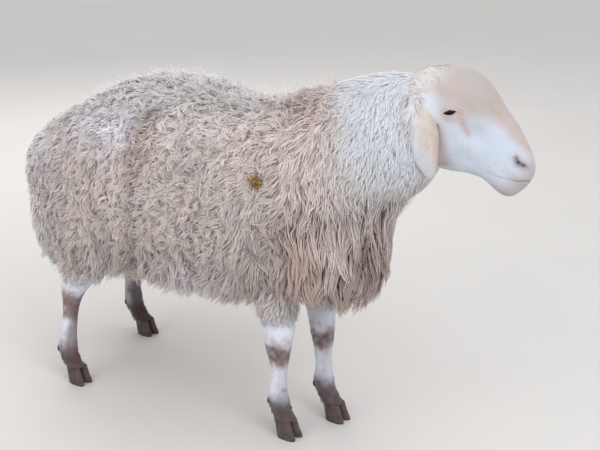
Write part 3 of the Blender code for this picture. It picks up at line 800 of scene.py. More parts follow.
# Local stains, and spots of painted shade in a crevice and on the lower chest: colour, strength, centre and
# radii in millimetres
STAINS = (
    (SOIL_AND_SHADE, 0.50, (-30, 0, 770), (90, 45, 60)),
    (PINK_WOOL, 0.40, (-50, -30, 740), (90, 30, 60)),
    (SOIL_AND_SHADE, 0.28, (-60, 180, 740), (90, 140, 35)),
    (CLEAN_WOOL, 0.75, (-160, 490, 655), (90, 100, 55)),
    (PINK_WOOL, 0.75, (-177, 330, 670), (70, 34, 50)),
    (PINK_WOOL, 0.50, (-197, 335, 590), (60, 30, 60)),
    (CLEAN_WOOL, 1.00, (-174, 398, 665), (80, 34, 45)),
    # painted shade: a dark crevice in the fleece beside the pink patch
    (SOIL_AND_SHADE, 0.75, (-150, 318, 704), (40, 14, 11)),
    (CLEAN_WOOL, 0.90, (-150, 220, 340), (90, 80, 36)),
    (CLEAN_WOOL, 0.60, (190, 300, 600), (60, 70, 60)),
    (PINK_WOOL, 0.50, (190, 120, 550), (60, 60, 80)),
    (BLUISH, 0.60, (-50, 130, 750), (90, 60, 40)),
    (CLEAN_WOOL, 0.45, (-160, 670, 580), (90, 70, 120)),
    (SOIL_AND_SHADE, 0.10, (-190, 0, 500), (60, 40, 60)),
    (FLEECE, 0.60, (-95, -130, 530), (50, 34, 75)),
    (PINK_WOOL, 0.55, (-140, -83, 490), (50, 30, 75)),
    # darker lower chest between the forelegs: partly dirt, partly painted shade under the neck
    (SOIL_AND_SHADE, 0.60, (0, -175, 480), (50, 40, 75)),
    (FLEECE, 0.50, (-40, -150, 375), (100, 60, 45)),
)
FACE_WHITE = linear(190, 198, 210)
FACE_TAN = linear(178, 154, 140)
FACE_PINK = linear(186, 160, 154)
FACE_BROWN = linear(158, 122, 104)
EAR_CREAM = linear(192, 181, 173)
EAR_EDGE = linear(208, 208, 212)
FOREHEAD = linear(168, 155, 147)
MUZZLE = linear(164, 149, 147)
LIPS = linear(150, 124, 120)
NOSTRIL_RIM = linear(154, 142, 142)
NOSTRIL_WALL = linear(112, 100, 102)
NOSTRIL_SHADE = linear(70, 58, 60)
HORN_SCAR = linear(120, 104, 92)
DARK_SPECK = linear(150, 132, 118)
LEG_WHITE = linear(214, 219, 231)
LEG_BROWN = linear(84, 58, 50)
MUD = linear(64, 52, 53)
LID_DARK = linear(92, 62, 62)
LID_PINK = linear(206, 150, 142)
HORN = linear(70, 60, 58)
HORN_PALE = linear(104, 90, 84)
DEWCLAW_HORN = linear(74, 62, 58)
LASH = linear(150, 128, 116)

PALETTE = {
    "fleece": FLEECE, "neck": NECK_WHITE, "ruff": RUFF, "face": FACE_WHITE, "nose": FACE_TAN,
    "ears": EAR_CREAM, "legs": LEG_WHITE, "knees": LEG_BROWN, "mud": MUD,
}


def use_colours(settings):
    """Take the user's colours into the palette that the markings are painted with."""
    for key, colour in PALETTE.items():
        colour[:] = getattr(settings, key)


def body_colour(points):
    """Fleece colour: pale top, lower side darker with dirt and painted shade, brown ruff darkened low in
    front with painted shade, white neck, local stains, and painted shade in the folds, a crevice and under
    the belly.
    """
    x, y, z = points.T
    rough = cloud(points, 0.09, 11)
    fine = cloud(points, 0.022, 21)
    breast = ease(-y - 0.02 + 0.25 * (0.60 - z) + 0.03 * rough, -0.04, 0.06)
    front = breast * ease(0.605 - z + 0.02 * rough, 0.0, 0.12)
    # low on the chest's front the ruff darkens: its deeper brown, with painted shade under the neck
    deep = ease(-y - 0.03 + 0.3 * (0.52 - z), 0.0, 0.10) * ease(0.60 - z + 0.03 * rough, 0.0, 0.13)
    deep = deep * (1.0 - 0.80 * ease(0.465 - z + 0.02 * rough, 0.0, 0.09))
    white = ease(neck_front(points) + 0.016 * rough + 0.012 * fine, -0.034, 0.028)
    white = white * (1.0 - breast * ease(0.650 - z + 0.02 * rough, 0.0, 0.09))
    belly = ease(0.345 - z + 0.03 * rough, 0.0, 0.05)
    clean = ease(cloud(points, 0.045, 23), 0.35, 0.9)
    broken = 0.85 + 0.3 * fine
    colour = painted(FLEECE, len(points), (
        (FLEECE_TOP, 0.9 * ease(z + 0.03 * rough, 0.60, 0.74) * ease(y, 0.05, 0.35)),
        # lower side darker: partly dirt, partly painted shade towards the underside
        (FLEECE_LOW, 0.85 * ease(0.54 - z + 0.05 * rough, 0.0, 0.17)),
        (TAIL_CREAM, 0.8 * ease(y, 0.66, 0.72)),
        (RUFF, 0.95 * front),
        # deeper brown with painted shade, low in front
        (RUFF_DEEP_SHADE, 0.70 * deep),
        (NECK_WHITE, white),
        *((tint, share * spot(points, *metres(where)) * broken) for tint, share, *where in STAINS),
        # painted shade in the folds before the thighs and behind the elbows
        (SOIL_AND_SHADE, 0.32 * fold_share(y, z) * (np.abs(x) > 0.12)),
        # darker under the belly: partly dirt, partly painted shade under the body
        (SOIL_AND_SHADE, 0.35 * belly * ease(0.11 - np.abs(x), 0.0, 0.05)),
        (SOIL_AND_SHADE, 0.28 * ease(rough + fine, 0.55, 1.3) * ease(0.62 - z, 0.0, 0.2)),
        (CLEAN_WOOL, 0.35 * clean * (1.0 - front)),
    ))
    return colour * (1.0 + 0.07 * rough + 0.06 * fine)[:, None]


def poll_share(along, dorsal):
    """How woolly the head is: 1 on the poll and the throat, 0 on the face."""
    return ease(-0.024 - along + 0.35 * np.clip(0.03 - dorsal, 0.0, 0.1), 0.0, 0.045)


def ear_share(along, dorsal, out):
    """1 on the ears, 0 on the rest of the head."""
    return ease(0.004 - ear_skin(along, dorsal, out), 0.0, 0.003) * ease(out, 0.058, 0.068)


def ear_colour(points, along, dorsal, rough):
    """Ear markings: cream with tan and pink, brown spots, a pale rear edge, and painted shade at the root
    and along the rolled front rim.
    """
    edge, down = ear_place(along, dorsal)
    cream = ease(edge + 0.30 * (0.070 - down) + 0.008 * rough, -0.022, 0.018)
    ear = painted(FACE_WHITE, len(points), (
        (EAR_CREAM, 0.35 + 0.65 * cream),
        # tan along the rolled front rim, with painted shade of the roll
        (FACE_TAN * 0.90, 0.55 * ease(edge, 0.014, 0.030) * ease(rough, -0.8, 0.4)),
        (FACE_PINK * 0.92, 0.45 * cream * ease(cloud(points, 0.014, 37), -0.1, 0.7)),
        # painted shade where the ear hangs from the head, in brown
        (FACE_BROWN, 0.35 * ease(0.024 - down, 0.0, 0.03) * ease(edge, 0.000, 0.014)),
        (FACE_BROWN * 1.2, 0.30 * ease(down, 0.125, 0.165)),
        (FACE_BROWN, 0.30 * ease(cloud(points, 0.009, 39), 0.45, 0.9) * ease(down, 0.01, 0.04)),
        (EAR_EDGE, 0.85 * ease(0.006 - edge - 0.10 * down, 0.0, 0.016)),
    ))
    return ear * (1.0 + 0.06 * cloud(points, 0.018, 38))[:, None]


def head_colour(points):
    """Face markings: white cheek, tan nose and ears, pink eye ring, tear stain and muzzle, with painted
    shade behind and under the jaw, in the mouth's crease and in the nostrils.
    """
    along, dorsal, side = to_face(points).T
    out = np.abs(side)
    view = np.stack([along, dorsal], axis=1)
    rough = cloud(points, 0.030, 31)
    ridge = dorsal - (0.086 - 0.10 * np.clip(along - 0.05, 0.0, 1.0)) + 0.006 * rough
    behind = 0.45 * np.clip(0.004 - along, 0.0, 0.08)
    brow = ease(0.120 - along, 0.0, 0.10) * ease(dorsal + 0.010 * rough + behind, 0.045, 0.080)
    eye_side = ease(out, 0.020, 0.040)
    jaw = bell(from_line(along, dorsal, JAW_LINE), 0.017) * eye_side * (0.85 + 0.25 * rough)
    lips = bell(from_line(along, dorsal, MOUTH_LINE), 0.0022)
    nostril = from_line(along, dorsal, NOSTRIL_LINE)
    wing = ease(out, 0.016, 0.026)
    inside = ease(0.045 - out, 0.0, 0.006)
    scar = bell(from_line(along, dorsal, HORN_PIT_LINE), 0.0035)
    speck = bell(from_line(along, dorsal, SPECK_LINE), 0.003)
    tear = bell(from_line(along, dorsal, TEAR_LINE), 0.0075)
    colour = painted(FACE_WHITE, len(points), (
        (FACE_TAN, 0.75 * ease(ridge, -0.012, 0.012) * ease(along, 0.02, 0.07)),
        (FOREHEAD, 0.85 * brow),
        (FACE_TAN, 0.35 * brow * ease(cloud(points, 0.016, 35), 0.0, 0.8)),
        (FACE_PINK * 0.93, 0.85 * eye_side * spot(view, (0.010, 0.040), (0.030, 0.026))),
        (FACE_TAN * 0.92, 0.50 * eye_side * spot(view, (0.020, 0.068), (0.032, 0.016))),
        (FACE_BROWN * 1.25, 0.50 * eye_side * tear),
        # brown behind the jaw: the hair's own brown, with painted shade of the hollow between jaw and ear
        (FACE_BROWN, 0.75 * jaw * ease(0.022 - dorsal, 0.0, 0.03)),
        (MUZZLE, 0.75 * ease(along + 0.3 * (0.03 - dorsal), 0.185, 0.225)),
        # the lips' own darker colour, with painted shade in the mouth's crease
        (LIPS, 0.60 * (lips * (0.35 + 0.65 * ease(along, 0.190, 0.225)))),
        # painted shade in the nostril's hollow, darkest deep inside
        (NOSTRIL_WALL, 0.85 * bell(nostril, 0.0066) * wing * inside),
        (NOSTRIL_SHADE, 0.75 * bell(nostril, 0.0026) * wing * inside),
        (NOSTRIL_RIM, 0.55 * spot(view, (0.193, 0.053), (0.026, 0.018)) * ease(out, 0.010, 0.024)),
        (HORN_SCAR, 0.85 * scar * eye_side),
        (DARK_SPECK, 0.45 * speck * eye_side),
        # painted shade under the jaw, in brown
        (FACE_BROWN, 0.30 * ease(-dorsal - 0.045, 0.0, 0.03) * ease(0.11 - along, 0.0, 0.05)),
        (POLL_WOOL, 0.90 * poll_share(along, dorsal)),
    ))
    on_ear = ear_share(along, dorsal, out)[:, None]
    colour = colour * (1.0 - on_ear) + ear_colour(points, along, dorsal, rough) * on_ear
    return colour * (1.0 + 0.035 * rough)[:, None]


def leg_colour(points):
    """Leg markings by height: white with brown knees, brown with painted shade in the hollow under the hock,
    muddy feet, and painted shade at the legs' tops and on the far hind leg.
    """
    x, y, z = points.T
    rough = cloud(points, 0.030, 41)
    fine = cloud(points, 0.008, 45)
    hind = ease(y, 0.3, 0.4)
    ragged = 0.010 * rough + 0.005 * cloud(points * np.array([1.0, 1.0, 0.3]), 0.009, 47)
    knee = ease(z + ragged, 0.166, 0.190) * ease(0.230 - z + ragged, 0.0, 0.022)
    hock = ease(z + ragged, 0.150, 0.172) * ease(0.240 - z + ragged, 0.0, 0.018)
    halo = ease(z + 2.0 * ragged, 0.150, 0.175) * ease(0.246 - z + 2.0 * ragged, 0.0, 0.025)
    middle = np.zeros_like(z)
    for name, form in LEG_FORMS.items():
        here = (np.sign(x) == (-1.0 if name.endswith("right") else 1.0))
        here = here & ((y > 0.3) == name.startswith("hind"))
        middle = np.where(here, -np.interp(z, form.places, form.columns[2]), middle)
    front_side = ease(middle - y + 0.010 * rough, -0.006, 0.016)
    inner = hind * ease(x, 0.0, 0.05) * ease(0.22 - z + 0.01 * rough, 0.0, 0.04)
    colour = painted(LEG_WHITE, len(points), (
        (FACE_BROWN * 1.25, 0.55 * halo * ease(fine + rough, -0.6, 0.8)),
        (LEG_BROWN, (0.95 * knee * (1.0 - hind) + 0.85 * hock * hind) * (0.80 + 0.30 * fine)),
        # tan at the top of the legs, more on the hind legs: tan hair and painted shade under the body
        (FACE_BROWN, (0.12 + 0.13 * hind) * ease(z, 0.23, 0.28)),
        (MUD, 0.93 * ease(0.118 - z + 1.6 * ragged + 0.004 * fine, 0.0, 0.055)),
        # brown down the front of the lower legs, most on the hind: brown hair, with painted shade in the
        # hollow under the hock
        (LEG_BROWN * 1.15, front_side * (0.30 + 0.45 * hind) * ease(0.25 - z, 0.0, 0.05)),
        (LEG_BROWN * 1.3, 0.45 * ease(rough + 0.6 * fine, 0.30, 0.9) * ease(0.24 - z, 0.0, 0.06)),
        # the far (left) hind leg darkened below the hock: partly mud, partly painted shade under the body
        (MUD, 0.55 * inner),
    ))
    return colour * (1.0 + 0.05 * fine)[:, None]


# ---------- meshes
def placed(name, data):
    """A new object of some data, linked to the scene."""
    made = bpy.data.objects.new(name, data)
    bpy.context.scene.collection.objects.link(made)
    return made


def fill(data, key, values):
    """Write an array of numbers into mesh data."""
    data.foreach_set(key, np.asarray(values, dtype=np.float32).ravel())


def make_mesh(name, points, triangles, colour=None, grain=None, patch=None, shading=None):
    """Object from drawing-frame points and triangles, with colour, grain, OFBake and corner normals."""
    mesh = bpy.data.meshes.new(name)
    count = len(triangles)
    corners = np.ascontiguousarray(triangles, dtype=np.int32).ravel()
    mesh.vertices.add(len(points))
    fill(mesh.vertices, "co", points + MOVE)
    mesh.loops.add(3 * count)
    mesh.loops.foreach_set("vertex_index", corners)
    mesh.polygons.add(count)
    mesh.polygons.foreach_set("loop_start", np.arange(0, 3 * count, 3, dtype=np.int32))
    mesh.polygons.foreach_set("use_smooth", np.ones(count, dtype=bool))
    if colour is not None:
        tint = mesh.attributes.new("tint", "FLOAT_COLOR", "POINT")
        opaque = np.ones((len(points), 1))
        fill(tint.data, "color", np.concatenate([np.clip(colour, 0.0, 1.0), opaque], axis=1))
    if grain is not None:
        fill(mesh.attributes.new("grain", "FLOAT_VECTOR", "POINT").data, "vector", grain)
    if patch is not None:
        fill(mesh.uv_layers.new(name="OFBake").data, "uv", patch[corners])
    mesh.update(calc_edges=True)
    if shading is not None:
        mesh.normals_split_custom_set(shading)
    return placed(name, mesh)


def round_angles(count):
    """Evenly spaced angles once round."""
    return np.arange(count) / count * math.tau


def bands(index):
    """Triangles between neighbouring closed rings, from the points' numbers (ring, round it)."""
    beside = np.roll(index, -1, axis=1)
    one = np.stack([index[:-1], beside[:-1], beside[1:]], axis=-1).reshape(-1, 3)
    two = np.stack([index[:-1], beside[1:], index[1:]], axis=-1).reshape(-1, 3)
    return np.concatenate([one, two])


def grid_triangles(rows, columns):
    """Triangles of rings and both end fans; the two poles are numbered after the rings' points."""
    index = np.arange(rows * columns).reshape(rows, columns)
    beside = np.roll(index, -1, axis=1)
    pole = np.full(columns, rows * columns)
    start = np.stack([beside[0], index[0], pole], axis=-1)
    end = np.stack([index[-1], beside[-1], pole + 1], axis=-1)
    return np.concatenate([bands(index), start, end])


def outward(points, triangles):
    """The triangles turned so that the closed shape's volume comes out positive."""
    a, b, c = (points[triangles[:, k]] - points.mean(axis=0) for k in range(3))
    volume = (np.cross(a, b) * c).sum()
    return triangles if volume > 0.0 else triangles[:, ::-1]


def capped(rings, poles=None):
    """Closed shape of rings (ring, round it, xyz), each end fanned from its pole or its middle."""
    if poles is None:
        poles = np.stack([rings[0].mean(axis=0), rings[-1].mean(axis=0)])
    points = np.concatenate([rings.reshape(-1, 3), poles])
    return points, outward(points, grid_triangles(*rings.shape[:2]))


def tube(centres, across, upward, ring):
    """Closed tube: at each centre a ring of points across * cos + upward * sin."""
    angle = round_angles(ring)[None, :, None]
    rings = centres[:, None, :] + np.cos(angle) * across[:, None, :] + np.sin(angle) * upward[:, None, :]
    return capped(rings, centres[[0, -1]])


def merged(parts):
    """Several (points, triangles, colour) shapes as one."""
    points, triangles, colours = zip(*parts)
    starts = np.cumsum([0, *map(len, points[:-1])])
    moved = [part + start for part, start in zip(triangles, starts)]
    return np.concatenate(points), np.concatenate(moved), np.concatenate(colours)


# ---------- materials
class Flow:
    """A node socket that can be added to, taken from, multiplied and divided."""

    def __init__(self, shader, socket):
        self.shader = shader
        self.socket = socket

    def combine(self, operation, first, second):
        """A Math node of two values or links."""
        return self.shader.add("ShaderNodeMath", {"operation": operation}, {0: first, 1: second})

    def __add__(self, other):
        return self.combine("ADD", self, other)

    def __radd__(self, other):
        return self.combine("ADD", other, self)

    def __sub__(self, other):
        return self.combine("SUBTRACT", self, other)

    def __rsub__(self, other):
        return self.combine("SUBTRACT", other, self)

    def __mul__(self, other):
        return self.combine("MULTIPLY", self, other)

    def __rmul__(self, other):
        return self.combine("MULTIPLY", other, self)

    def __truediv__(self, other):
        return self.combine("DIVIDE", self, other)


class Shader:
    """A Principled material built through one node method."""

    def __init__(self, name):
        self.material = bpy.data.materials.new(name)
        self.material.use_nodes = True
        self.tree = self.material.node_tree
        self.surface = self.tree.nodes["Principled BSDF"]

    def put(self, socket, value):
        """Link or set one socket."""
        if isinstance(value, Flow):
            self.tree.links.new(value.socket, socket)
        elif isinstance(value, (tuple, list)) and len(value) == 3 and socket.type == "RGBA":
            socket.default_value = (*value, 1.0)
        else:
            socket.default_value = value

    def add(self, kind, settings=None, inputs=None, output=0):
        """A node of one type: its settings, then its sockets' values or links, one output back."""
        node = self.tree.nodes.new(kind)
        for key, value in (settings or {}).items():
            setattr(node, key, value)
        for key, value in (inputs or {}).items():
            self.put(node.inputs[key], value)
        return Flow(self, node.outputs[output])

    def attribute(self, name, output):
        """A mesh attribute by name."""
        return self.add("ShaderNodeAttribute", {"attribute_name": name}, output=output)

    def place(self):
        """Object coordinates."""
        return self.add("ShaderNodeTexCoord", output="Object")

    def noise(self, vector, scale, detail=2.0, roughness=0.5):
        """Noise value, 0 to 1."""
        values = {"Vector": vector, "Scale": scale, "Detail": detail, "Roughness": roughness}
        return self.add("ShaderNodeTexNoise", inputs=values)

    def smooth(self, value, start, end, low=0.0, high=1.0):
        """Smooth step of a value between start and end, from low to high."""
        values = {"Value": value, "From Min": start, "From Max": end, "To Min": low, "To Max": high}
        return self.add("ShaderNodeMapRange", {"interpolation_type": "SMOOTHSTEP"}, values)

    def blend(self, share, first, second, how="MIX"):
        """Two colours blended by a share."""
        settings = {"data_type": "RGBA", "blend_type": how}
        return self.add("ShaderNodeMix", settings, {0: share, 6: first, 7: second}, output=2)

    def brighten(self, colour, amount):
        """A colour scaled by a value."""
        values = {0: colour, "Scale": amount}
        return self.add("ShaderNodeVectorMath", {"operation": "SCALE"}, values)

    def bump(self, height, distance, strength=1.0):
        """Bump of a height value feeding the surface's normal."""
        values = {"Height": height, "Distance": distance, "Strength": strength}
        self.put(self.surface.inputs["Normal"], self.add("ShaderNodeBump", inputs=values))

    def finish(self, **values):
        """Set the surface's sockets, named with underscores for spaces."""
        for key, value in values.items():
            self.put(self.surface.inputs[key.replace("_", " ")], value)
        return self.material


def shared(name, make, *values):
    """The material of a name, made the first time that it is asked for."""
    return bpy.data.materials.get(name) or make(name, *values)


def skin_material():
    """Short flat hair over skin: painted markings, fine combed grain and soft sheen."""
    shader = Shader("short_coated_skin")
    grain = shader.attribute("grain", "Vector")
    fibres = shader.noise(grain, 900.0, 2.0, 0.6)
    tufts = shader.noise(grain, 260.0, 2.0, 0.5)
    tint = shader.attribute("tint", "Color")
    shade = 0.80 + 0.26 * fibres + 0.14 * tufts
    shader.bump(fibres * 0.6 + tufts * 0.8, 0.0016, 0.6)
    return shader.finish(
        Base_Color=shader.brighten(tint, shade), Roughness=shader.smooth(tufts, 0.2, 0.8, 0.62, 0.82),
        Sheen_Weight=0.25, Sheen_Roughness=0.5, Specular_IOR_Level=0.25,
    )


def strand_material(name, rough, sheen, glow, relief, streaks=0.29):
    """Wool or hair: painted colour, fine fibres along each tuft, soft sheen and light let through."""
    shader = Shader(name)
    fibre = shader.noise(shader.attribute("grain", "Vector"), 1.0, 3.0, 0.65)
    streak = shader.smooth(fibre, 0.34, 0.62)
    mottle = shader.noise(shader.place(), 160.0, 2.0, 0.5)
    tint = shader.attribute("tint", "Color")
    shader.bump(fibre, relief, 0.5)
    return shader.finish(
        Base_Color=shader.brighten(tint, (0.94 - 0.6 * streaks) + streaks * streak + 0.12 * mottle),
        Roughness=shader.smooth(fibre, 0.3, 0.7, rough - 0.06, rough + 0.04),
        Sheen_Weight=sheen, Sheen_Roughness=0.6, Specular_IOR_Level=0.10,
        Subsurface_Weight=glow, Subsurface_Radius=(0.006, 0.005, 0.0045), Subsurface_Scale=1.0,
    )


def horn_material(name):
    """Hoof horn: painted growth rings, fine upright streaks and dried mud in patches."""
    shader = Shader(name)
    grain = shader.attribute("grain", "Vector")
    streak = shader.noise(grain, 700.0, 3.0, 0.6)
    patch = shader.smooth(shader.noise(shader.place(), 70.0, 4.0, 0.6), 0.42, 0.62)
    tint = shader.attribute("tint", "Color")
    dusty = shader.blend(patch * 0.55, shader.brighten(tint, 0.7 + 0.6 * streak), tuple(MUD))
    shader.bump(streak + patch, 0.0006, 0.6)
    return shader.finish(Base_Color=dusty, Roughness=0.45 + 0.35 * patch, Specular_IOR_Level=0.35)


def eye_material(name):
    """Dark brown iris with a level oblong pupil, dark rim and a wet clear coat."""
    shader = Shader(name)
    gaze = shader.attribute("gaze", "Vector")
    level = shader.add("ShaderNodeSeparateXYZ", inputs={0: gaze}, output=0)
    raised = shader.add("ShaderNodeSeparateXYZ", inputs={0: gaze}, output=1)
    wide = shader.add("ShaderNodeMath", {"operation": "ABSOLUTE"}, {0: level})
    tall = shader.add("ShaderNodeMath", {"operation": "ABSOLUTE"}, {0: raised})
    pupil = shader.smooth(wide, 0.36, 0.42) + shader.smooth(tall, 0.12, 0.19)
    pupil = shader.smooth(pupil, 0.2, 0.9)
    span = shader.add("ShaderNodeVectorMath", {"operation": "LENGTH"}, {0: gaze}, output="Value")
    rays = shader.noise(gaze, 9.0, 3.0, 0.7)
    iris = shader.blend(shader.smooth(rays, 0.35, 0.65), (0.012, 0.006, 0.006), (0.030, 0.014, 0.011))
    rim = shader.smooth(span, 0.62, 0.78)
    colour = shader.blend(pupil, (0.002, 0.002, 0.003), iris)
    colour = shader.blend(rim, colour, (0.030, 0.018, 0.018))
    return shader.finish(
        Base_Color=colour, Roughness=0.30 + 0.1 * rays, Coat_Weight=0.20, Coat_Roughness=0.03,
        Specular_IOR_Level=0.05,
    )


def lid_material(name):
    """Bare moist skin of the lid edges."""
    shader = Shader(name)
    speck = shader.noise(shader.place(), 900.0, 2.0, 0.5)
    tint = shader.attribute("tint", "Color")
    shader.bump(speck, 0.0004, 0.5)
    return shader.finish(Base_Color=shader.brighten(tint, 0.85 + 0.3 * speck), Roughness=0.38 + 0.2 * speck)


def straw_material():
    """Dry golden straw with darker nodes."""
    shader = Shader("dry_straw")
    speck = shader.noise(shader.place(), 260.0, 3.0, 0.6)
    colour = shader.blend(shader.smooth(speck, 0.35, 0.65), (0.13, 0.066, 0.018), (0.42, 0.25, 0.075))
    shader.bump(speck, 0.0005, 0.5)
    return shader.finish(Base_Color=colour, Roughness=0.55 + 0.2 * speck)


# ---------- the skin
SHELLS = {}
HEAD_SPANS = (
    ((-0.095, -0.030, 0.0030), (-0.030, 0.046, 0.0014), (0.046, 0.160, 0.0030), (0.160, 0.247, 0.0021)),
    ((-0.125, 0.010, 0.0032), (0.010, 0.070, 0.0014), (0.070, 0.145, 0.0028)),
    ((-0.108, -0.076, 0.0026), (-0.076, -0.046, 0.0017), (-0.046, 0.046, 0.0027),
     (0.046, 0.076, 0.0017), (0.076, 0.108, 0.0026)),
)
BODY_SPANS = (((-0.215, 0.215, 0.0120),), ((-0.330, 0.812, 0.0120),), ((0.230, 0.860, 0.0120),))
LEG_CELL = 0.0034
LEG_MARGIN = 0.012                  # room in the grid round a leg
# painted shade: the skin under the wool is darkened like wool deep in the coat's shade
UNDER_WOOL_SHADE = 0.87                   # how much darker the skin is than the wool that covers it


def skin_shells():
    """Body, head and leg shells as (points, triangles, normals) in the drawing frame, made once."""
    if SHELLS:
        return SHELLS
    SHELLS["body"] = shell(body_skin, BODY_SPANS)
    local, triangles, normals = shell(head_skin, HEAD_SPANS)
    turn = np.stack([FACE_ALONG, FACE_DORSAL, FACE_LEFT])
    SHELLS["head"] = (FACE_ORIGIN + local @ turn, triangles[:, ::-1], normals @ turn)
    for name, form in LEG_FORMS.items():
        height, front, back, _, half, shift = LEGS[name].T
        lows = ((shift - half).min(), front.min(), height[0])
        highs = ((shift + half).max(), back.max(), height[-1])
        spans = [((low - LEG_MARGIN, high + LEG_MARGIN, LEG_CELL),) for low, high in zip(lows, highs)]
        SHELLS[name] = shell(leg_skin(form), spans)
    return SHELLS


def grain_of(points, along, stretch=0.18):
    """Coordinates squeezed along the hair's direction, so that noise on them runs like hair."""
    return points - np.multiply.outer(points @ along, along) * (1.0 - stretch)


def build_skin():
    """The one skin: body, head and legs in a single mesh under the coat."""
    parts = []
    grains = []
    for name, (points, triangles, _) in skin_shells().items():
        if name == "body":
            # painted shade: the body's skin is darkened like the shaded depths of the fleece
            colour = body_colour(points) * UNDER_WOOL_SHADE
        else:
            colour = head_colour(points) if name == "head" else leg_colour(points)
        parts.append((points, triangles, colour))
        grains.append(grain_of(points, FACE_ALONG if name == "head" else UP))
    skin = make_mesh("skin", *merged(parts), np.concatenate(grains))
    skin.data.materials.append(skin_material())
    legs = [leg + "_" + storey for leg in LEGS for storey in ("upper", "cannon", "pastern")]
    flesh = ["trunk", "neck", "head", "lower_jaw", "ear_right", "ear_left", "tail"]
    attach(skin, "root")
    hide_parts(*flesh, "hind_right_thigh", "hind_left_thigh", *legs)


# ---------- eyes and lids
LEVEL = math.cos(HEAD_PITCH) * FACE_ALONG + math.sin(HEAD_PITCH) * FACE_DORSAL
RAISED = -math.sin(HEAD_PITCH) * FACE_ALONG + math.cos(HEAD_PITCH) * FACE_DORSAL
SIDES = (("right", -1.0), ("left", 1.0))
CORNEA = 0.0010                     # how far it stands out of the ball
CORNEA_EDGE = 0.72                  # cosine of the angle from the gaze where it begins
LID_STEPS = 56
LID_RING = 8


def eye_frame(sign):
    """Centre of one eye, and its level, raised and outward directions."""
    return face_point(EYE[0], EYE[1], sign * EYE[2]), np.stack([LEVEL, RAISED, sign * FACE_LEFT])


def on_ball(level, raised):
    """How far out a place on the cornea's sphere lies."""
    return np.sqrt(np.maximum((EYE_RADIUS + CORNEA) ** 2 - level**2 - raised**2, 0.0))


def build_eye(side, sign):
    """Eyeball: a sphere by angle from the gaze and angle round it, with a raised clear cornea."""
    rows, columns = 40, 48
    tilt = np.linspace(0.0, math.pi, rows + 2)[1:-1]
    turn = round_angles(columns)
    radius = EYE_RADIUS + CORNEA * np.clip(np.cos(tilt) - CORNEA_EDGE, 0.0, 1.0) / (1.0 - CORNEA_EDGE)
    level = (radius * np.sin(tilt))[:, None] * np.cos(turn)
    raised = (radius * np.sin(tilt))[:, None] * np.sin(turn)
    out = np.broadcast_to((radius * np.cos(tilt))[:, None], level.shape)
    poles = np.array([[0.0, 0.0, EYE_RADIUS + CORNEA], [0.0, 0.0, -EYE_RADIUS]])
    local = np.concatenate([np.stack([level, raised, out], axis=-1).reshape(-1, 3), poles])
    centre, axes = eye_frame(sign)
    points = centre + local @ axes
    eye = make_mesh("eyeball_" + side, points, outward(points, grid_triangles(rows, columns)))
    gaze = eye.data.attributes.new("gaze", "FLOAT_VECTOR", "POINT")
    fill(gaze.data, "vector", local * np.array([1.0, 1.0, 0.0]) / EYE_RADIUS)
    eye.data.materials.append(shared("wet_eye", eye_material))
    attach(eye, "root")
    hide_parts("eye_" + side)


def lid_edge(share):
    """Level and raised coordinates round the lid opening, share 0 to 1 from the front corner."""
    angle = share * math.tau
    level = LID_HALF_LENGTH * np.cos(angle)
    arc = 1.0 - (level / LID_HALF_LENGTH) ** 2
    return level, np.where(np.sin(angle) >= 0.0, LID_UPPER * arc, -LID_LOWER * arc) + LID_TILT * level


def build_lids(side, sign):
    """Rim of bare skin round the lid opening, thicker at the front corner."""
    level, raised = lid_edge(np.arange(LID_STEPS) / LID_STEPS)
    thick = 0.00085 + 0.0007 * bell(level - LID_HALF_LENGTH, 0.004)
    centre, axes = eye_frame(sign)
    path = centre + np.stack([level, raised, on_ball(level, raised)], axis=1) @ axes
    away = unit(path - centre)
    ahead = unit(np.roll(path, -1, axis=0) - np.roll(path, 1, axis=0))
    across = np.cross(ahead, away)
    angle = round_angles(LID_RING)[None, :, None]
    rim = np.cos(angle) * across[:, None, :] * 1.25 + np.sin(angle) * away[:, None, :]
    points = (path[:, None, :] + rim * thick[:, None, None]).reshape(-1, 3)
    index = np.arange(LID_STEPS * LID_RING).reshape(LID_STEPS, LID_RING)
    triangles = outward(points, bands(np.concatenate([index, index[:1]])))
    colour = painted(LID_DARK, LID_STEPS, ((LID_PINK, bell(level - LID_HALF_LENGTH, 0.006)),))
    lids = make_mesh("lid_edges_" + side, points, triangles, np.repeat(colour, LID_RING, axis=0))
    lids.data.materials.append(shared("moist_lid", lid_material))
    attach(lids, "root")


# ---------- hooves
CORONET = 0.0404                    # height where the horn meets the skin
CLAW_HALF = 0.0106                  # half width of one claw at its widest table share
CLAW_GAP = 0.0009                   # half the gap between the claws
CLAW_RING = 30
GROWTH_RING = 0.0048                # height of one growth ring of the horn
DEWCLAW_HEIGHT = 0.080
DEWCLAW_ROWS = 12
DEWCLAW_RING = 16


def leg_at(leg, height):
    """Front, back, middle, half width and sideways place of a leg at one height."""
    return read_table(LEGS[leg], np.array([height]))[0]


def claw_rings(heights, wave):
    """Rings of one claw: an oval drawn out at the toe, flat on the side facing its twin."""
    toe, heel, middle, share = read_table(CLAW, np.minimum(heights, 0.040)).T[:, :, None]
    angle = round_angles(CLAW_RING)
    cos, sin = np.cos(angle), np.sin(angle)
    power = 2.0 / 2.4
    reach = np.where(sin >= 0.0, middle - toe, heel - middle)
    across = CLAW_HALF * share * np.sign(cos) * np.abs(cos) ** power * (1.0 + wave[:, None])
    across = across * (1.0 - 0.30 * np.clip(sin, 0.0, 1.0) ** 3)
    deep = middle - reach * np.sign(sin) * np.abs(sin) ** power * (1.0 + wave[:, None])
    return across, deep, np.broadcast_to(heights[:, None], across.shape)


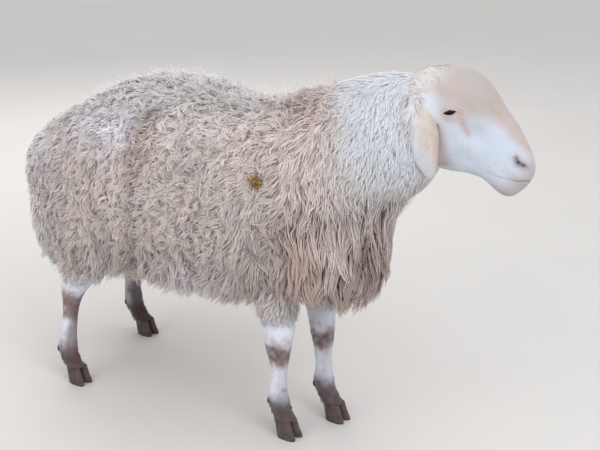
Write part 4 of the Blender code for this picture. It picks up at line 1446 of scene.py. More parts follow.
def build_hooves(leg):
    """A foot's two claws with growth rings and flat soles, and its two dewclaws."""
    front, _, _, _, shift = leg_at(leg, CORONET)
    heights = np.concatenate([[0.0, 0.0006], np.linspace(0.0030, 0.0415, 16)])
    wave = 0.018 * np.sin(heights / GROWTH_RING * math.tau) * ease(heights, 0.003, 0.010)
    wave[0] = -0.05
    parts = []
    for _, sign in SIDES:
        across, deep, tall = claw_rings(heights, wave)
        splay = sign * 0.0018 * ease(0.02 - heights, 0.0, 0.02)[:, None] * ease(-deep, -0.01, 0.012)
        x = shift + sign * (CLAW_GAP + CLAW_HALF * 1.02) + across + splay
        points, triangles = capped(np.stack([x, front + deep, tall], axis=-1))
        band = 0.5 + 0.5 * np.sin(points[:, 2] / GROWTH_RING * math.tau + 1.0)
        parts.append((points, triangles, painted(HORN, len(points), ((HORN_PALE, band * 0.6),))))
    _, back, _, half, shift = leg_at(leg, DEWCLAW_HEIGHT)
    tilt = np.linspace(0.0, math.pi, DEWCLAW_ROWS + 2)[1:-1]
    turn = round_angles(DEWCLAW_RING)
    wide = np.sin(tilt)[:, None] ** 0.8
    for _, sign in SIDES:
        x = shift + sign * half * 0.58 + 0.0045 * wide * np.cos(turn)
        y = back - 0.0098 + 0.0070 * wide * np.sin(turn)
        z = np.broadcast_to((DEWCLAW_HEIGHT + 0.0085 * np.cos(tilt))[:, None], x.shape)
        points, triangles = capped(np.stack([x, y, z], axis=-1))
        parts.append((points, triangles, painted(DEWCLAW_HORN, len(points), ())))
    points, triangles, colour = merged(parts)
    hoof = make_mesh("hooves_" + leg, points, triangles, colour, grain_of(points, UP, 0.1))
    hoof.data.materials.append(shared("hoof_horn", horn_material))
    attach(hoof, "root")
    claws = [leg + kind + side for kind in ("_claw_", "_dewclaw_") for side, _ in SIDES]
    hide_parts(*claws)


# ---------- the coat
TUFT_PATCH = 0.003                  # side of a tuft's patch in its OFBake map
TUFT_LIMIT = 195000                 # most triangles in one coat piece
WHITE_NECK = 0.212                  # how far along the neck its white wool begins
OPEN_REACH = 0.012                  # height over the skin where a place is tried for being open
OPEN_GAP = 0.004                    # distance that it needs from every other part
NECK_STRAND_LENGTH = 0.031
NECK_STRAND_WIDTH = 0.0027
TAIL_STRAND_LENGTH = 0.046
LEG_STRAND_WIDTH = 0.0031
LASHES = 16                         # on each lid
LASH_LENGTH = 0.0060
LASH_WIDTH = 0.00034
FLEECE_STRANDS = ("fleece_wool", strand_material, 0.92, 0.20, 0.6, 0.00022)
FACE_STRANDS = ("face_hair_strands", strand_material, 0.72, 0.25, 0.0, 0.00003, 0.06)


def scatter(names, density, rng):
    """Random roots on shells, and their normals, thinned by a density per place.

    density(points, normals) gives tufts for each square metre.
    """
    found = []
    for name in names:
        points, triangles, normals = skin_shells()[name]
        a, b, c = (points[triangles[:, k]] for k in range(3))
        area = 0.5 * np.linalg.norm(np.cross(b - a, c - a), axis=1)
        wanted = area * density((a + b + c) / 3.0, unit(normals[triangles].mean(axis=1)))
        total = int(wanted.sum())
        pick = np.searchsorted(np.cumsum(wanted), rng.random(total) * wanted.sum())
        pick = np.minimum(pick, len(triangles) - 1)
        u, v = rng.random((2, total))
        fold = u + v > 1.0
        u = np.where(fold, 1.0 - u, u)[:, None]
        v = np.where(fold, 1.0 - v, v)[:, None]
        corner = normals[triangles[pick]]
        slope = unit(corner[:, 0] * (1.0 - u - v) + corner[:, 1] * u + corner[:, 2] * v)
        found.append((a[pick] + u * (b[pick] - a[pick]) + v * (c[pick] - a[pick]), slope))
    return (np.concatenate([part[k] for part in found]) for k in range(2))


def clumps(roots, each):
    """Index of the leading tuft that each tuft's lock gathers to, one leader for each few tufts."""
    guides = np.arange(0, len(roots), each)
    tree = kdtree.KDTree(len(guides))
    for index, place in enumerate(roots[guides].tolist()):
        tree.insert(place, index)
    tree.balance()
    return guides[np.array([tree.find(place)[1] for place in roots.tolist()])]


def flat_to(vectors, normals):
    """Unit vectors laid into the surface whose normals are given."""
    return unit(vectors - (vectors * normals).sum(axis=1, keepdims=True) * normals)


def swirl(points, size, seed):
    """Smoothly wandering vectors: three clouds of noise."""
    return np.stack([cloud(points, size, seed + k) for k in range(3)], axis=1)


def lumps(points):
    """Soft swellings of the fleece, about -1 to 1."""
    return 0.65 * cloud(points, 0.075, 95) + 0.35 * cloud(points, 0.030, 97)


def lumpy(points, normals, depth):
    """Heights of the swellings, and the normals tilted to the swellings' slope times a depth."""
    step = 0.003
    height = lumps(points)
    slope = np.stack([lumps(points + step * way) - height for way in np.eye(3)], axis=1) / step
    slope = slope - (slope * normals).sum(axis=1, keepdims=True) * normals
    return height, unit(normals - depth * slope)


class Coat:
    """A coat in the making: roots and normals on the skin, locks, shading normals and random draws."""

    def __init__(self, rng, roots, normals, each, depth=0.0):
        self.rng = rng
        self.roots = roots
        self.normals = normals
        self.count = len(roots)
        self.clump = clumps(roots, each)
        self.lump, self.facing = lumpy(roots, normals, depth) if depth else (0.0, normals)

    def one(self, low, span):
        """A random value for each tuft, from low to low + span."""
        return low + span * self.rng.random(self.count)

    def lock(self, low, span):
        """A random value for each lock, shared by its tufts."""
        return self.one(low, span)[self.clump]

    def strew(self, wish, together, apart):
        """The wished directions laid flat and turned at random, whole locks and single tufts."""
        lie = flat_to(wish, self.normals)
        lock = self.rng.normal(size=lie.shape)[self.clump]
        together, apart = np.reshape(together, (-1, 1)), np.reshape(apart, (-1, 1))
        return flat_to(lie + together * lock + apart * self.rng.normal(size=lie.shape), self.normals)

    def make(self, name, lie, field, paint, unwrap, material, slot="wool", **given):
        """Fill in the usual values, grow the tufts along their lie and make the coat's pieces."""
        values = {
            "rings": 6, "soft": 0.70, "flat": 0.24, "bleed": 0.35, "phase": self.one(0.0, math.tau),
            "turns": self.one(0.5, 0.7), "curl": self.one(0.001, 0.002), "hug": 0.5, "held": 1.0,
            "droop": 0.05, "gather": self.lock(0.30, 0.30), "tone": 1.0, "profile": taper,
            "shade": wool_shade, "order": self.roots[:, 1],
        }
        values.update(given)
        path = self.grow(lie, values, field)
        pieces = self.strands(path, values, paint, unwrap)
        for part, (points, triangles, *looks) in enumerate(pieces):
            label = name if len(pieces) == 1 else name + "_" + str(part + 1)
            piece = make_mesh(label, points, triangles, *looks)
            piece.data.materials.append(material)
            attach(piece, "root")

    def grow(self, lie, values, field):
        """Centre lines of tufts, (tuft, ring, xyz).

        Each line runs along its lie by length * s, rises by rise * (1 - (1 - s)^2), curls sideways
        by curl * s^0.7 * sin(turns * s + phase), is held at its height over the skin by the
        distance field, droops by s^2 and is drawn towards its clump's leading tuft.
        """
        s = np.linspace(0.0, 1.0, values["rings"])[None, :]

        def each(key):
            return np.broadcast_to(values[key], self.count)[:, None]

        roots, normals = self.roots, self.normals[:, None, :]
        side = np.cross(self.normals, lie)
        run = each("length") * s
        phase = each("phase") + each("turns") * math.tau * s
        curl = each("curl") * s**0.7
        height = each("rise") * (1.0 - (1.0 - s) ** 2) + 0.6 * curl * np.cos(phase) * s
        path = roots[:, None, :] + run[..., None] * lie[:, None, :]
        path = path + (curl * np.sin(phase))[..., None] * side[:, None, :]
        path = path + height[..., None] * normals
        for _ in range(2 if field else 0):
            error = height - field(*path.reshape(-1, 3).T).reshape(path.shape[:2])
            error = np.where(error < 0.0, error * each("hug"), error)
            path = path + (error * each("held") * np.minimum(4.0 * s, 1.0))[..., None] * normals
        path = path - (each("droop") * run * s)[..., None] * UP
        leader = self.clump
        pull = (each("gather") * s**1.4)[..., None]
        return path * (1.0 - pull) + (path[leader] + 0.25 * (roots - roots[leader])[:, None, :]) * pull

    def strands(self, path, values, paint, unwrap):
        """Meshes of one or more pieces from centre lines: three-sided tapering closed tubes.

        The upper faces are shaded with normals drawn towards the coat's facing, the lower faces
        with their own. Colour is painted at the root and at the tip and blended between them.
        """
        count, rings = path.shape[:2]
        body = (rings - 1) * 3
        s = np.linspace(0.0, 1.0, rings)
        facing = self.facing[:, None, :]

        def each(key):
            return np.broadcast_to(values[key], count)[:, None, None]

        def with_tip(sides, tip):
            return np.concatenate([sides[:, :-1].reshape(count, body, 3), tip[:, -1:]], axis=1)

        ahead = unit(np.gradient(path, axis=1))
        across = unit(np.cross(ahead, facing))
        upward = np.cross(across, ahead)
        wide = each("width") * 0.5 * values["profile"](s)[None, :, None]
        deep = wide * values["flat"]
        low_left = path - across * wide - upward * deep * 0.5
        low_right = path + across * wide - upward * deep * 0.5
        points = with_tip(np.stack([low_left, low_right, path + upward * deep], axis=2), path)
        crest = 0.6 * upward
        own = with_tip(np.stack([crest - 0.8 * across, crest + 0.8 * across, upward], axis=2), upward)
        over = unit(own * (1.0 - values["soft"]) + facing * values["soft"])
        under = -with_tip(np.repeat(upward, 3, axis=1).reshape(count, rings, 3, 3), upward)
        index = np.arange(body).reshape(rings - 1, 3)
        tip = np.stack([index[-1], np.roll(index[-1], -1), np.full(3, body)], axis=-1)
        pattern = np.concatenate([bands(index), tip, np.array([[0, 2, 1]])])[:, ::-1]
        below = (np.arange(len(pattern)) % 3 == 0)[None, :, None, None]
        ring_of = np.append(np.repeat(np.arange(rings - 1), 3), rings - 1)
        corner_of = np.append(np.tile(np.arange(3), rings - 1), 1)
        share = (s * values["bleed"])[ring_of][None, :, None]
        tints = paint(self.roots)[:, None, :] * (1.0 - share) + paint(path[:, -1])[:, None, :] * share
        tints = tints * values["shade"](s)[ring_of][None, :, None] * each("tone")
        place = unwrap(self.roots)
        low, high = place.min(axis=0), place.max(axis=0)
        place = 0.004 + 0.990 * (place - low) / np.maximum(high - low, 1e-6)
        local = np.stack([ring_of / (rings - 1.0), corner_of / 2.0], axis=1) * TUFT_PATCH
        patch = place[:, None, :] + local[None]
        run = s[ring_of][None, :] * np.linalg.norm(path[:, -1] - path[:, 0], axis=1)[:, None] / 0.012
        turn = np.broadcast_to(corner_of * 3.0, run.shape)
        tuft = np.broadcast_to(np.arange(count)[:, None] * 7.3, run.shape)
        grain = np.stack([run, turn, tuft], axis=-1)
        pieces = max(int(np.ceil(count * len(pattern) / TUFT_LIMIT)), 1)
        made = []
        for chosen in np.array_split(np.argsort(values["order"], kind="stable"), pieces):
            triangles = pattern[None] + (np.arange(len(chosen)) * points.shape[1])[:, None, None]
            shading = np.where(below, under[chosen][:, pattern], over[chosen][:, pattern])
            looks = (triangles, tints[chosen], grain[chosen], patch[chosen], shading)
            made.append([part.reshape(-1, part.shape[-1]) for part in (points[chosen], *looks)])
        return made


def scattered(seed, names, density, each, depth=0.0):
    """A coat strewn over shells by a density, one lock for each few tufts."""
    rng = np.random.default_rng(seed)
    return Coat(rng, *scatter(names, density, rng), each, depth)


def taper(s):
    """Width along a wool strand: full from the root, narrowing over its outer half."""
    return 1.0 - 0.75 * np.clip((s - 0.35) / 0.65, 0.0, 1.0) ** 1.3


def lock_taper(s):
    """Width along a long lock: swelling, then running to a point."""
    return (0.75 + 0.5 * np.sin(np.clip(s, 0.0, 1.0) * math.pi * 0.8)) * (1.0 - 0.85 * s**2.2)


def wool_shade(s):
    """Painted shade along wool: darker at the root, down in the coat, pale from half way."""
    return 0.80 + 0.22 * ease(s, 0.05, 0.75)


def neck_shade(s):
    """Painted shade along the neck's wool: a little darker at the root."""
    return 0.92 + 0.08 * ease(s, 0.0, 0.7)


def ruff_shade(s):
    """Painted shade along the chest's locks: deep brown and shaded at the root, pale at the tip."""
    return 0.54 + 0.66 * ease(s, 0.05, 0.95)


def hair_shade(s):
    """Shade along short hair."""
    return 0.96 + 0.06 * s


def on_tail(points):
    """Whether the tail is the body part that lies nearest."""
    return np.argmin(np.stack(body_distances(*points.T)), axis=0) == TAIL_PLACE


def neck_along(points):
    """How far along the neck's own line a place lies."""
    return (points - NECK_FROM) @ NECK_FORM.axes[2]


def neck_front(points):
    """How far a place lies in front of the line where the white neck begins, in metres."""
    return neck_along(points) + 0.40 * np.clip(HEAD_HEIGHT - points[:, 2], 0.0, 0.3) - WHITE_NECK


def ruff_share(points):
    """How far a place belongs to the long locks of the chest, 0 to 1."""
    _, y, z = points.T
    reach = -y - 0.020 + 0.30 * (0.56 - z) + 0.02 * cloud(points, 0.06, 51)
    return ease(reach, 0.0, 0.08) * ease(0.610 - z + 0.015 * cloud(points, 0.05, 52), 0.0, 0.08)


def neck_share(points):
    """How far a place belongs to the white woolly neck, 0 to 1."""
    return ease(neck_front(points) + 0.014 * cloud(points, 0.04, 53), -0.055, 0.015)


def trunk_depth(points):
    """Depth of the trunk's wool."""
    return np.interp(points[:, 1], *TRUNK_COAT.T)


def coat_depth(points):
    """Depth of the wool: the trunk's, passing to the neck's before the white neck."""
    neck = np.interp(neck_along(points), *NECK_COAT.T)
    share = ease(neck_front(points), -0.11, 0.0)
    return trunk_depth(points) * (1.0 - share) + neck * share


def shown(points, normals):
    """1 where the skin lies open, 0 where another part of the body covers it."""
    return body_skin(*(points + OPEN_REACH * normals).T) >= OPEN_GAP


def body_wish(points, normals):
    """Combed direction: down and back on the sides, straight down on rump and chest."""
    x, y, z = points.T
    back = 0.30 * ease(0.62 - y, 0.0, 0.35) * ease(y, -0.08, 0.05) + 0.12
    outwards = 0.75 * np.tanh(x / 0.03) * ease(z, 0.64, 0.74)
    wish = np.stack([outwards, back + 0.3 * cloud(points, 0.12, 61), np.full_like(x, -0.85)], axis=1)
    under = ease(-normals[:, 2], 0.55, 0.9)[:, None]
    wish = wish * (1.0 - under) + np.array([0.0, 1.0, -0.2]) * under
    return wish + 0.60 * swirl(points, 0.05, 71)


def build_fleece(settings):
    """Fleece of the trunk and thighs: matted strands gathered into small wavy locks."""

    def density(points, normals):
        keep = 1.0 - np.maximum(ruff_share(points), neck_share(points))
        keep = keep * ~on_tail(points) * shown(points, normals)
        return settings.strand_density * keep * (1.0 - 0.45 * ease(-normals[:, 2], 0.75, 0.95))

    coat = scattered(101, ["body"], density, 7, 0.008)
    roots, lump = coat.roots, coat.lump
    x, y, z = roots.T
    crown = ease(z + 0.02 * cloud(roots, 0.08, 96), 0.64, 0.75)
    swept = spot(roots, (-0.08, -0.060, 0.66), (0.12, 0.060, 0.10))
    tangle = spot(roots, (-0.17, -0.004, 0.51), (0.08, 0.046, 0.08))
    cleft = spot(roots, (-0.150, 0.325, 0.690), (0.05, 0.045, 0.030))
    hem = ease(-coat.normals[:, 2], 0.10, 0.60) * ease(0.42 - z, 0.0, 0.06)
    hem = hem * ease(cloud(roots, 0.035, 94), -0.8, 0.3)
    combed = ease(0.17 - y, 0.0, 0.15) * ease(0.68 - z, 0.0, 0.12) * (1.0 - tangle)
    combed = np.clip(combed + swept + 0.9 * hem, 0.0, 1.0)
    curly = 1.0 - combed
    # cracks between the locks: the tufts there lie lower and are darkened with painted shade
    shaded_crack = bell(cloud(roots, 0.050, 92), 0.10) * (0.25 + 0.75 * curly)
    shaded_crack = np.minimum(shaded_crack + 2.4 * cleft * bell(cloud(roots, 0.020, 93), 0.18), 1.8)
    together = 0.26 + 0.44 * curly + 0.30 * tangle
    lie = coat.strew(body_wish(roots, coat.normals), together, 0.16 + 0.16 * curly)
    wisp = coat.one(0.0, 1.0) < 0.020 + 0.080 * crown + 0.05 * hem
    thin = np.where(wisp, 0.6, 1.0) * (1.0 - 0.15 * combed)
    lift = coat.lock(0.84, 0.32) * coat.one(0.90, 0.18)
    depth = coat_depth(roots) * (1.0 + 0.36 * lump) * (1.0 - 0.22 * tangle)
    length = settings.strand_length * coat.one(0.70, 0.60) * (1.0 + 0.75 * combed + 0.35 * hem)
    tone = coat.lock(0.90, 0.20) * coat.one(0.95, 0.10)
    shut = coat.lock(0.0, 1.0) < 0.07 + 0.30 * tangle
    rise = np.where(wisp, coat.one(1.40, 0.8), 0.92 + 0.25 * hem) * (1.0 - 0.25 * shaded_crack)
    coat.make(
        "fleece", lie, body_skin, body_colour, TRUNK_FORM.unwrap, shared(*FLEECE_STRANDS),
        rings=5, soft=0.74, length=length * np.where(wisp, 0.9, 1.0), rise=depth * lift * rise,
        phase=coat.lock(0.0, math.tau) + coat.one(0.0, 0.9), turns=coat.lock(0.7, 0.7),
        hug=0.75, droop=0.04 + 0.42 * hem, curl=coat.one(0.0018, 0.0022) + 0.0016 * curly,
        gather=(coat.lock(0.30, 0.40) + 0.22 * hem) * np.where(wisp, 0.3, 1.0),
        width=settings.strand_width * coat.one(0.60, 0.6) * thin, order=np.where(x < 0.0, 0.0, 10.0) + y,
        # painted shade: darker in the hollows between the swellings and in the cracks
        tone=tone * (1.0 + 0.14 * lump) * (1.0 - 0.30 * shaded_crack) * np.where(shut, 0.70 - 0.30 * tangle, 1.0),
    )


def build_neck_wool(settings):
    """Soft white wool of the neck, fluffier and finer, growing back and down."""

    def density(points, normals):
        keep = neck_share(points) * (1.0 - ruff_share(points)) * shown(points, normals)
        return settings.strand_density * 1.70 * keep

    coat = scattered(202, ["body"], density, 14, 0.006)
    top = ease(coat.normals[:, 2], 0.30, 0.85)[:, None]
    wish = -(0.30 + 0.70 * top) * NECK_FORM.axes[2] + np.array([0.0, 0.15, -0.9])
    lie = coat.strew(wish + 0.7 * swirl(coat.roots, 0.045, 81), 0.16, 0.24)
    depth = coat_depth(coat.roots) * (1.0 + 0.22 * coat.lump)
    wool = strand_material("neck_wool", 0.90, 0.30, 0.6, 0.0001)
    coat.make(
        "neck_wool", lie, body_skin, body_colour, NECK_FORM.unwrap, wool,
        rings=5, soft=0.90, flat=0.18, length=NECK_STRAND_LENGTH * coat.one(0.7, 0.6),
        rise=depth * coat.one(0.90, 0.26),
        curl=coat.one(0.0012, 0.0026), hug=0.8, droop=0.10, gather=coat.lock(0.10, 0.28),
        width=NECK_STRAND_WIDTH * coat.one(0.6, 0.6), shade=neck_shade,
        # painted shade: darker in the hollows between the wool's swellings
        tone=coat.one(0.93, 0.08) + 0.04 * coat.lump,
    )


def build_ruff(settings):
    """Long pointed locks hanging from the chest and the lower neck."""

    def density(points, normals):
        return settings.strand_density * 0.62 * ruff_share(points) * shown(points, normals)

    coat = scattered(303, ["body"], density, 8, 0.008)
    roots = coat.roots
    back = 0.08 - 0.50 * ease(0.48 - roots[:, 2], 0.0, 0.12)
    wish = np.stack([0.10 * np.sign(roots[:, 0]), back, -np.ones(coat.count)], axis=1)
    lie = coat.strew(wish + 0.25 * swirl(roots, 0.06, 86), 0.10, 0.07)
    hem = 0.312 + 0.018 * cloud(roots, 0.05, 55)
    share = 0.42 + 0.58 * ruff_share(roots)
    length = settings.ruff_length * share * coat.one(0.65, 0.6)
    wool = strand_material("ruff_wool", 0.90, 0.18, 0.5, 0.00025)
    coat.make(
        "ruff", lie, body_skin, body_colour, TRUNK_FORM.unwrap, wool,
        rings=8, soft=0.50, flat=0.42, hug=0.30, droop=0.12,
        length=np.minimum(length, np.maximum(roots[:, 2] - hem, 0.012) * coat.one(0.95, 0.2)),
        rise=trunk_depth(roots) * coat.one(0.55, 0.36) * (1.0 + 0.2 * coat.lump),
        phase=coat.lock(0.0, math.tau) + coat.one(0.0, 0.5), turns=coat.lock(0.6, 1.0),
        curl=coat.one(0.002, 0.005), gather=coat.lock(0.55, 0.38),
        width=settings.strand_width * 1.25 * share * coat.one(0.6, 0.7), profile=lock_taper,
        shade=ruff_shade, tone=coat.lock(0.80, 0.38) * coat.one(0.93, 0.14),
    )


def build_tail_wool(settings):
    """Long smooth strands of the broad tail, hanging straight down to a ragged hem."""

    def density(points, normals):
        return settings.strand_density * 0.72 * on_tail(points) * shown(points, normals)

    coat = scattered(404, ["body"], density, 8, 0.007)
    x, _, z = coat.roots.T
    wish = np.stack([0.25 * np.sign(x) * ease(z, 0.52, 0.60), 0.0 * x, -np.ones(coat.count)], axis=1)
    coat.make(
        "tail_wool", coat.strew(wish, 0.20, 0.14), body_skin, body_colour, TAIL_FORM.unwrap,
        shared(*FLEECE_STRANDS), length=TAIL_STRAND_LENGTH * coat.one(0.7, 0.6),
        rise=TAIL_WOOL * coat.one(0.80, 0.30) * (1.0 + 0.40 * coat.lump), phase=coat.lock(0.0, math.tau),
        hug=0.55, width=settings.strand_width * 0.90 * coat.one(0.6, 0.6), order=x,
        tone=coat.lock(0.92, 0.16) * coat.one(0.95, 0.10),
    )


def leg_wool_colour(points):
    """Colour of the ragged wool on top of the legs: fleece above, the leg's own white below."""
    share = ease(points[:, 2] + 0.010 * cloud(points, 0.02, 90), 0.270, 0.315)
    return toward(leg_colour(points), FLEECE_LOW * 1.02, 0.9 * share)


def build_leg_wool(settings):
    """Ragged wool on the tops of the legs, where the fleece ends."""

    def density(points, normals):
        keep = ease(points[:, 2] + 0.016 * cloud(points, 0.022, 91), 0.262, 0.300)
        keep = keep * (points[:, 2] < 0.372) * (np.abs(normals[:, 2]) < 0.9)
        return settings.strand_density * 1.05 * keep

    coat = scattered(505, list(LEGS), density, 7, 0.005)
    high = ease(coat.roots[:, 2], 0.270, 0.35)
    coat.make(
        "leg_wool", coat.strew(np.array([0.0, 0.15, -1.0]), 0.22, 0.16), None, leg_wool_colour,
        LEG_FORMS["fore_right"].unwrap, shared(*FLEECE_STRANDS), rings=5,
        length=(0.014 + 0.022 * high) * coat.one(0.7, 0.6), rise=(0.002 + 0.010 * high) * coat.one(0.7, 0.5),
        curl=coat.one(0.001, 0.003), width=LEG_STRAND_WIDTH * coat.one(0.6, 0.6), tone=coat.lock(0.90, 0.18),
    )


def hair_zones(points):
    """Shares of the woolly poll, of the ears' rear fringe, of the jaw's edge and of the ears."""
    along, dorsal, side = to_face(points).T
    edge, down = ear_place(along, dorsal)
    ear = ear_share(along, dorsal, np.abs(side))
    fringe = ear * ease(-edge - 0.012 * ease(down, 0.02, 0.12), 0.0, 0.020)
    woolly = poll_share(along, dorsal) * (1.0 - ear * ease(down, 0.005, 0.030))
    jaw = ease(-dorsal - 0.052, 0.0, 0.014) * (1.0 - ear)
    jaw = jaw + ease(-dorsal - 0.016, 0.0, 0.01) * ease(along, 0.12, 0.14)
    return woolly, fringe, np.clip(jaw, 0.0, 1.0), ear


def placed_head_skin(x, y, z):
    """Distance to the head's skin from drawing-frame places."""
    return head_skin(*to_face(np.stack([x, y, z], axis=1)).T)


def build_face_hair(settings):
    """Short hair of the head where it breaks the form, woollier on the poll and the ears' backs."""

    def density(points, normals):
        along, dorsal, side = to_face(points).T
        woolly, fringe, jaw, _ = hair_zones(points)
        keep = np.clip(1.7 * woolly + fringe + 0.35 * jaw, 0.0, 1.7)
        keep = keep * ease(from_eye(along, dorsal, np.abs(side)), 0.020, 0.026)
        keep = keep * ease(from_line(along, dorsal, MOUTH_LINE), 0.004, 0.008)
        keep = keep * ease(from_line(along, dorsal, NOSTRIL_LINE), 0.008, 0.013)
        return settings.hair_density * keep * (1.0 - 0.8 * ease(along, 0.18, 0.22))

    coat = scattered(606, ["head"], density, 6)
    woolly, fringe, _, ear = hair_zones(coat.roots)
    down = -ease(0.08 - to_face(coat.roots)[:, 1], 0.0, 0.09) * 0.9
    combed = -FACE_ALONG + np.multiply.outer(down, UP)
    hanging = -UP - np.multiply.outer(0.9 * fringe - 0.15, FACE_FORWARD)
    wish = combed * (1.0 - ear)[:, None] + hanging * ear[:, None]
    lie = coat.strew(wish, 0.10 + 0.15 * woolly, 0.10 + 0.12 * woolly)
    long = np.maximum(woolly, fringe)
    length = 0.0045 + 0.0120 * woolly + 0.0200 * fringe + 0.0040 * ear
    rise = 0.0004 + 0.0022 * long + 0.0012 * fringe + 0.0003 * ear
    width = 0.0008 + 0.0014 * long + 0.0004 * ear * (1.0 - long)
    coat.make(
        "face_hair", lie, placed_head_skin, head_colour, HEAD_PLACED.unwrap, shared(*FACE_STRANDS),
        "face_hair", rings=4, soft=0.96, flat=0.12, bleed=1.0, length=length * coat.one(0.7, 0.6),
        rise=rise * coat.one(0.7, 0.6), curl=0.0002 + 0.0018 * long, hug=1.0, held=fringe < 0.02,
        droop=0.04 * long, gather=0.25 * long, width=width * coat.one(0.7, 0.6), shade=hair_shade,
        tone=coat.one(0.97, 0.06) * (1.0 + 0.10 * long),
    )


def build_leg_hair(settings):
    """Short flat hair of the lower legs, muddy and clotted at the feet."""

    def density(points, normals):
        height = points[:, 2]
        keep = (height < 0.30) * (height > 0.042) * (np.abs(normals[:, 2]) < 0.93)
        return settings.hair_density * 0.40 * keep * (1.0 + 0.8 * ease(0.10 - height, 0.0, 0.03))

    coat = scattered(707, list(LEGS), density, 6)
    lie = coat.strew(np.array([0.0, 0.12, -1.0]), 0.12, 0.12)
    foot = ease(0.100 - coat.roots[:, 2], 0.0, 0.03)
    reach = np.maximum(coat.roots[:, 2] - 0.036, 0.004)
    hair = strand_material("leg_hair_strands", 0.76, 0.25, 0.0, 0.00004, 0.14)
    coat.make(
        "leg_hair", lie, None, leg_colour, LEG_FORMS["fore_right"].unwrap, hair, "leg_hair",
        rings=4, soft=0.80, flat=0.35, bleed=1.0,
        length=np.minimum((0.0075 + 0.006 * foot) * coat.one(0.7, 0.6), reach),
        rise=(0.0008 + 0.0018 * foot) * coat.one(0.6, 0.8), curl=0.0004, hug=0.0, droop=0.0,
        gather=0.2 + 0.5 * foot, width=(0.0012 + 0.0008 * foot) * coat.one(0.7, 0.6),
        shade=hair_shade, tone=coat.one(0.92, 0.16),
    )


def lash_colour(points):
    """One pale brown for every lash."""
    return painted(LASH, len(points), ())


def build_lashes():
    """Pale lashes curving out and down from each upper lid."""
    rng = np.random.default_rng(808)
    parts = []
    for _, sign in SIDES:
        level, raised = lid_edge(np.linspace(0.12, 0.42, LASHES))
        centre, axes = eye_frame(sign)
        roots = centre + np.stack([level, raised + 0.0005, on_ball(level, raised)], axis=1) @ axes
        spread = 0.05 * rng.normal(size=roots.shape) + 25.0 * level[:, None] * LEVEL
        parts.append((roots, unit(roots - centre), unit(0.10 * RAISED + sign * FACE_LEFT + spread)))
    roots, normals, lie = (np.concatenate([part[k] for part in parts]) for k in range(3))
    coat = Coat(rng, roots, normals, 1)
    coat.make(
        "eyelashes", lie, None, lash_colour, HEAD_PLACED.unwrap, shared(*FACE_STRANDS), "face_hair",
        rings=5, soft=0.5, flat=0.9, gather=0.0, bleed=0.0, length=LASH_LENGTH * coat.one(0.8, 0.4),
        rise=0.0004, turns=0.3, curl=0.0002, hug=0.0, droop=0.35, width=LASH_WIDTH,
        shade=hair_shade,
    )


STRAW_BITS = 90
STRAW_PLACE = (0.018, 0.608)        # along and height of the clot's middle
STRAW_OUT = 0.020                   # how far it lies outside the skin
STRAW_RING = 6


def build_straw():
    """A clot of golden straw and husks caught in the right shoulder's fleece."""
    rng = np.random.default_rng(909)
    reach = np.linspace(-0.24, -0.12, 60)
    depth = body_skin(reach, *(np.full(60, place) for place in STRAW_PLACE))
    centre = np.array([np.interp(-STRAW_OUT, -depth, reach), *STRAW_PLACE])
    parts = []
    for _ in range(STRAW_BITS):
        start = centre + rng.normal(size=3) * np.array([0.0030, 0.0060, 0.0068])
        way = unit(rng.normal(size=3) * np.array([0.6, 1.0, 1.0]))
        length = 0.005 + 0.010 * rng.random()
        s = np.linspace(-0.5, 0.5, 5)
        bend = unit(np.cross(way, rng.normal(size=3)))
        centres = start + (length * s)[:, None] * way + (0.008 * s**2)[:, None] * bend
        width = ((0.0009 + 0.0012 * rng.random()) * np.array([0.6, 1.0, 1.0, 1.0, 0.5]))[:, None]
        points, triangles = tube(centres, width * bend, 0.45 * width * np.cross(way, bend), STRAW_RING)
        parts.append((points, triangles, np.zeros((len(points), 3))))
    points, triangles, _ = merged(parts)
    straw = make_mesh("straw_bits", points, triangles)
    straw.data.materials.append(straw_material())
    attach(straw, "root")


# ---------- stage
FLOOR_REACH = 60.0
LIGHT_TARGET = Vector((0.0, -0.02, 0.42))
CAMERA_PLACE = Vector((-2.0029, -1.6733, 1.2700))
CAMERA_TARGET = Vector((-0.0069, -0.1583, 0.4700))
CAMERA_LENS = 72.0                  # millimetres, as the sensor
CAMERA_SENSOR = 36.0


def aim(made, place, target):
    """Put a light or the camera at a place, looking at a target."""
    made.location = place
    made.rotation_euler = (target - Vector(place)).to_track_quat("-Z", "Y").to_euler()


def add_light(name, place, size, power, colour):
    """Square area light aimed at the sheep."""
    lamp = bpy.data.lights.new(name, "AREA")
    lamp.shape = "SQUARE"
    lamp.size = size
    lamp.energy = power
    lamp.color = colour
    aim(placed(name, lamp), place, LIGHT_TARGET)


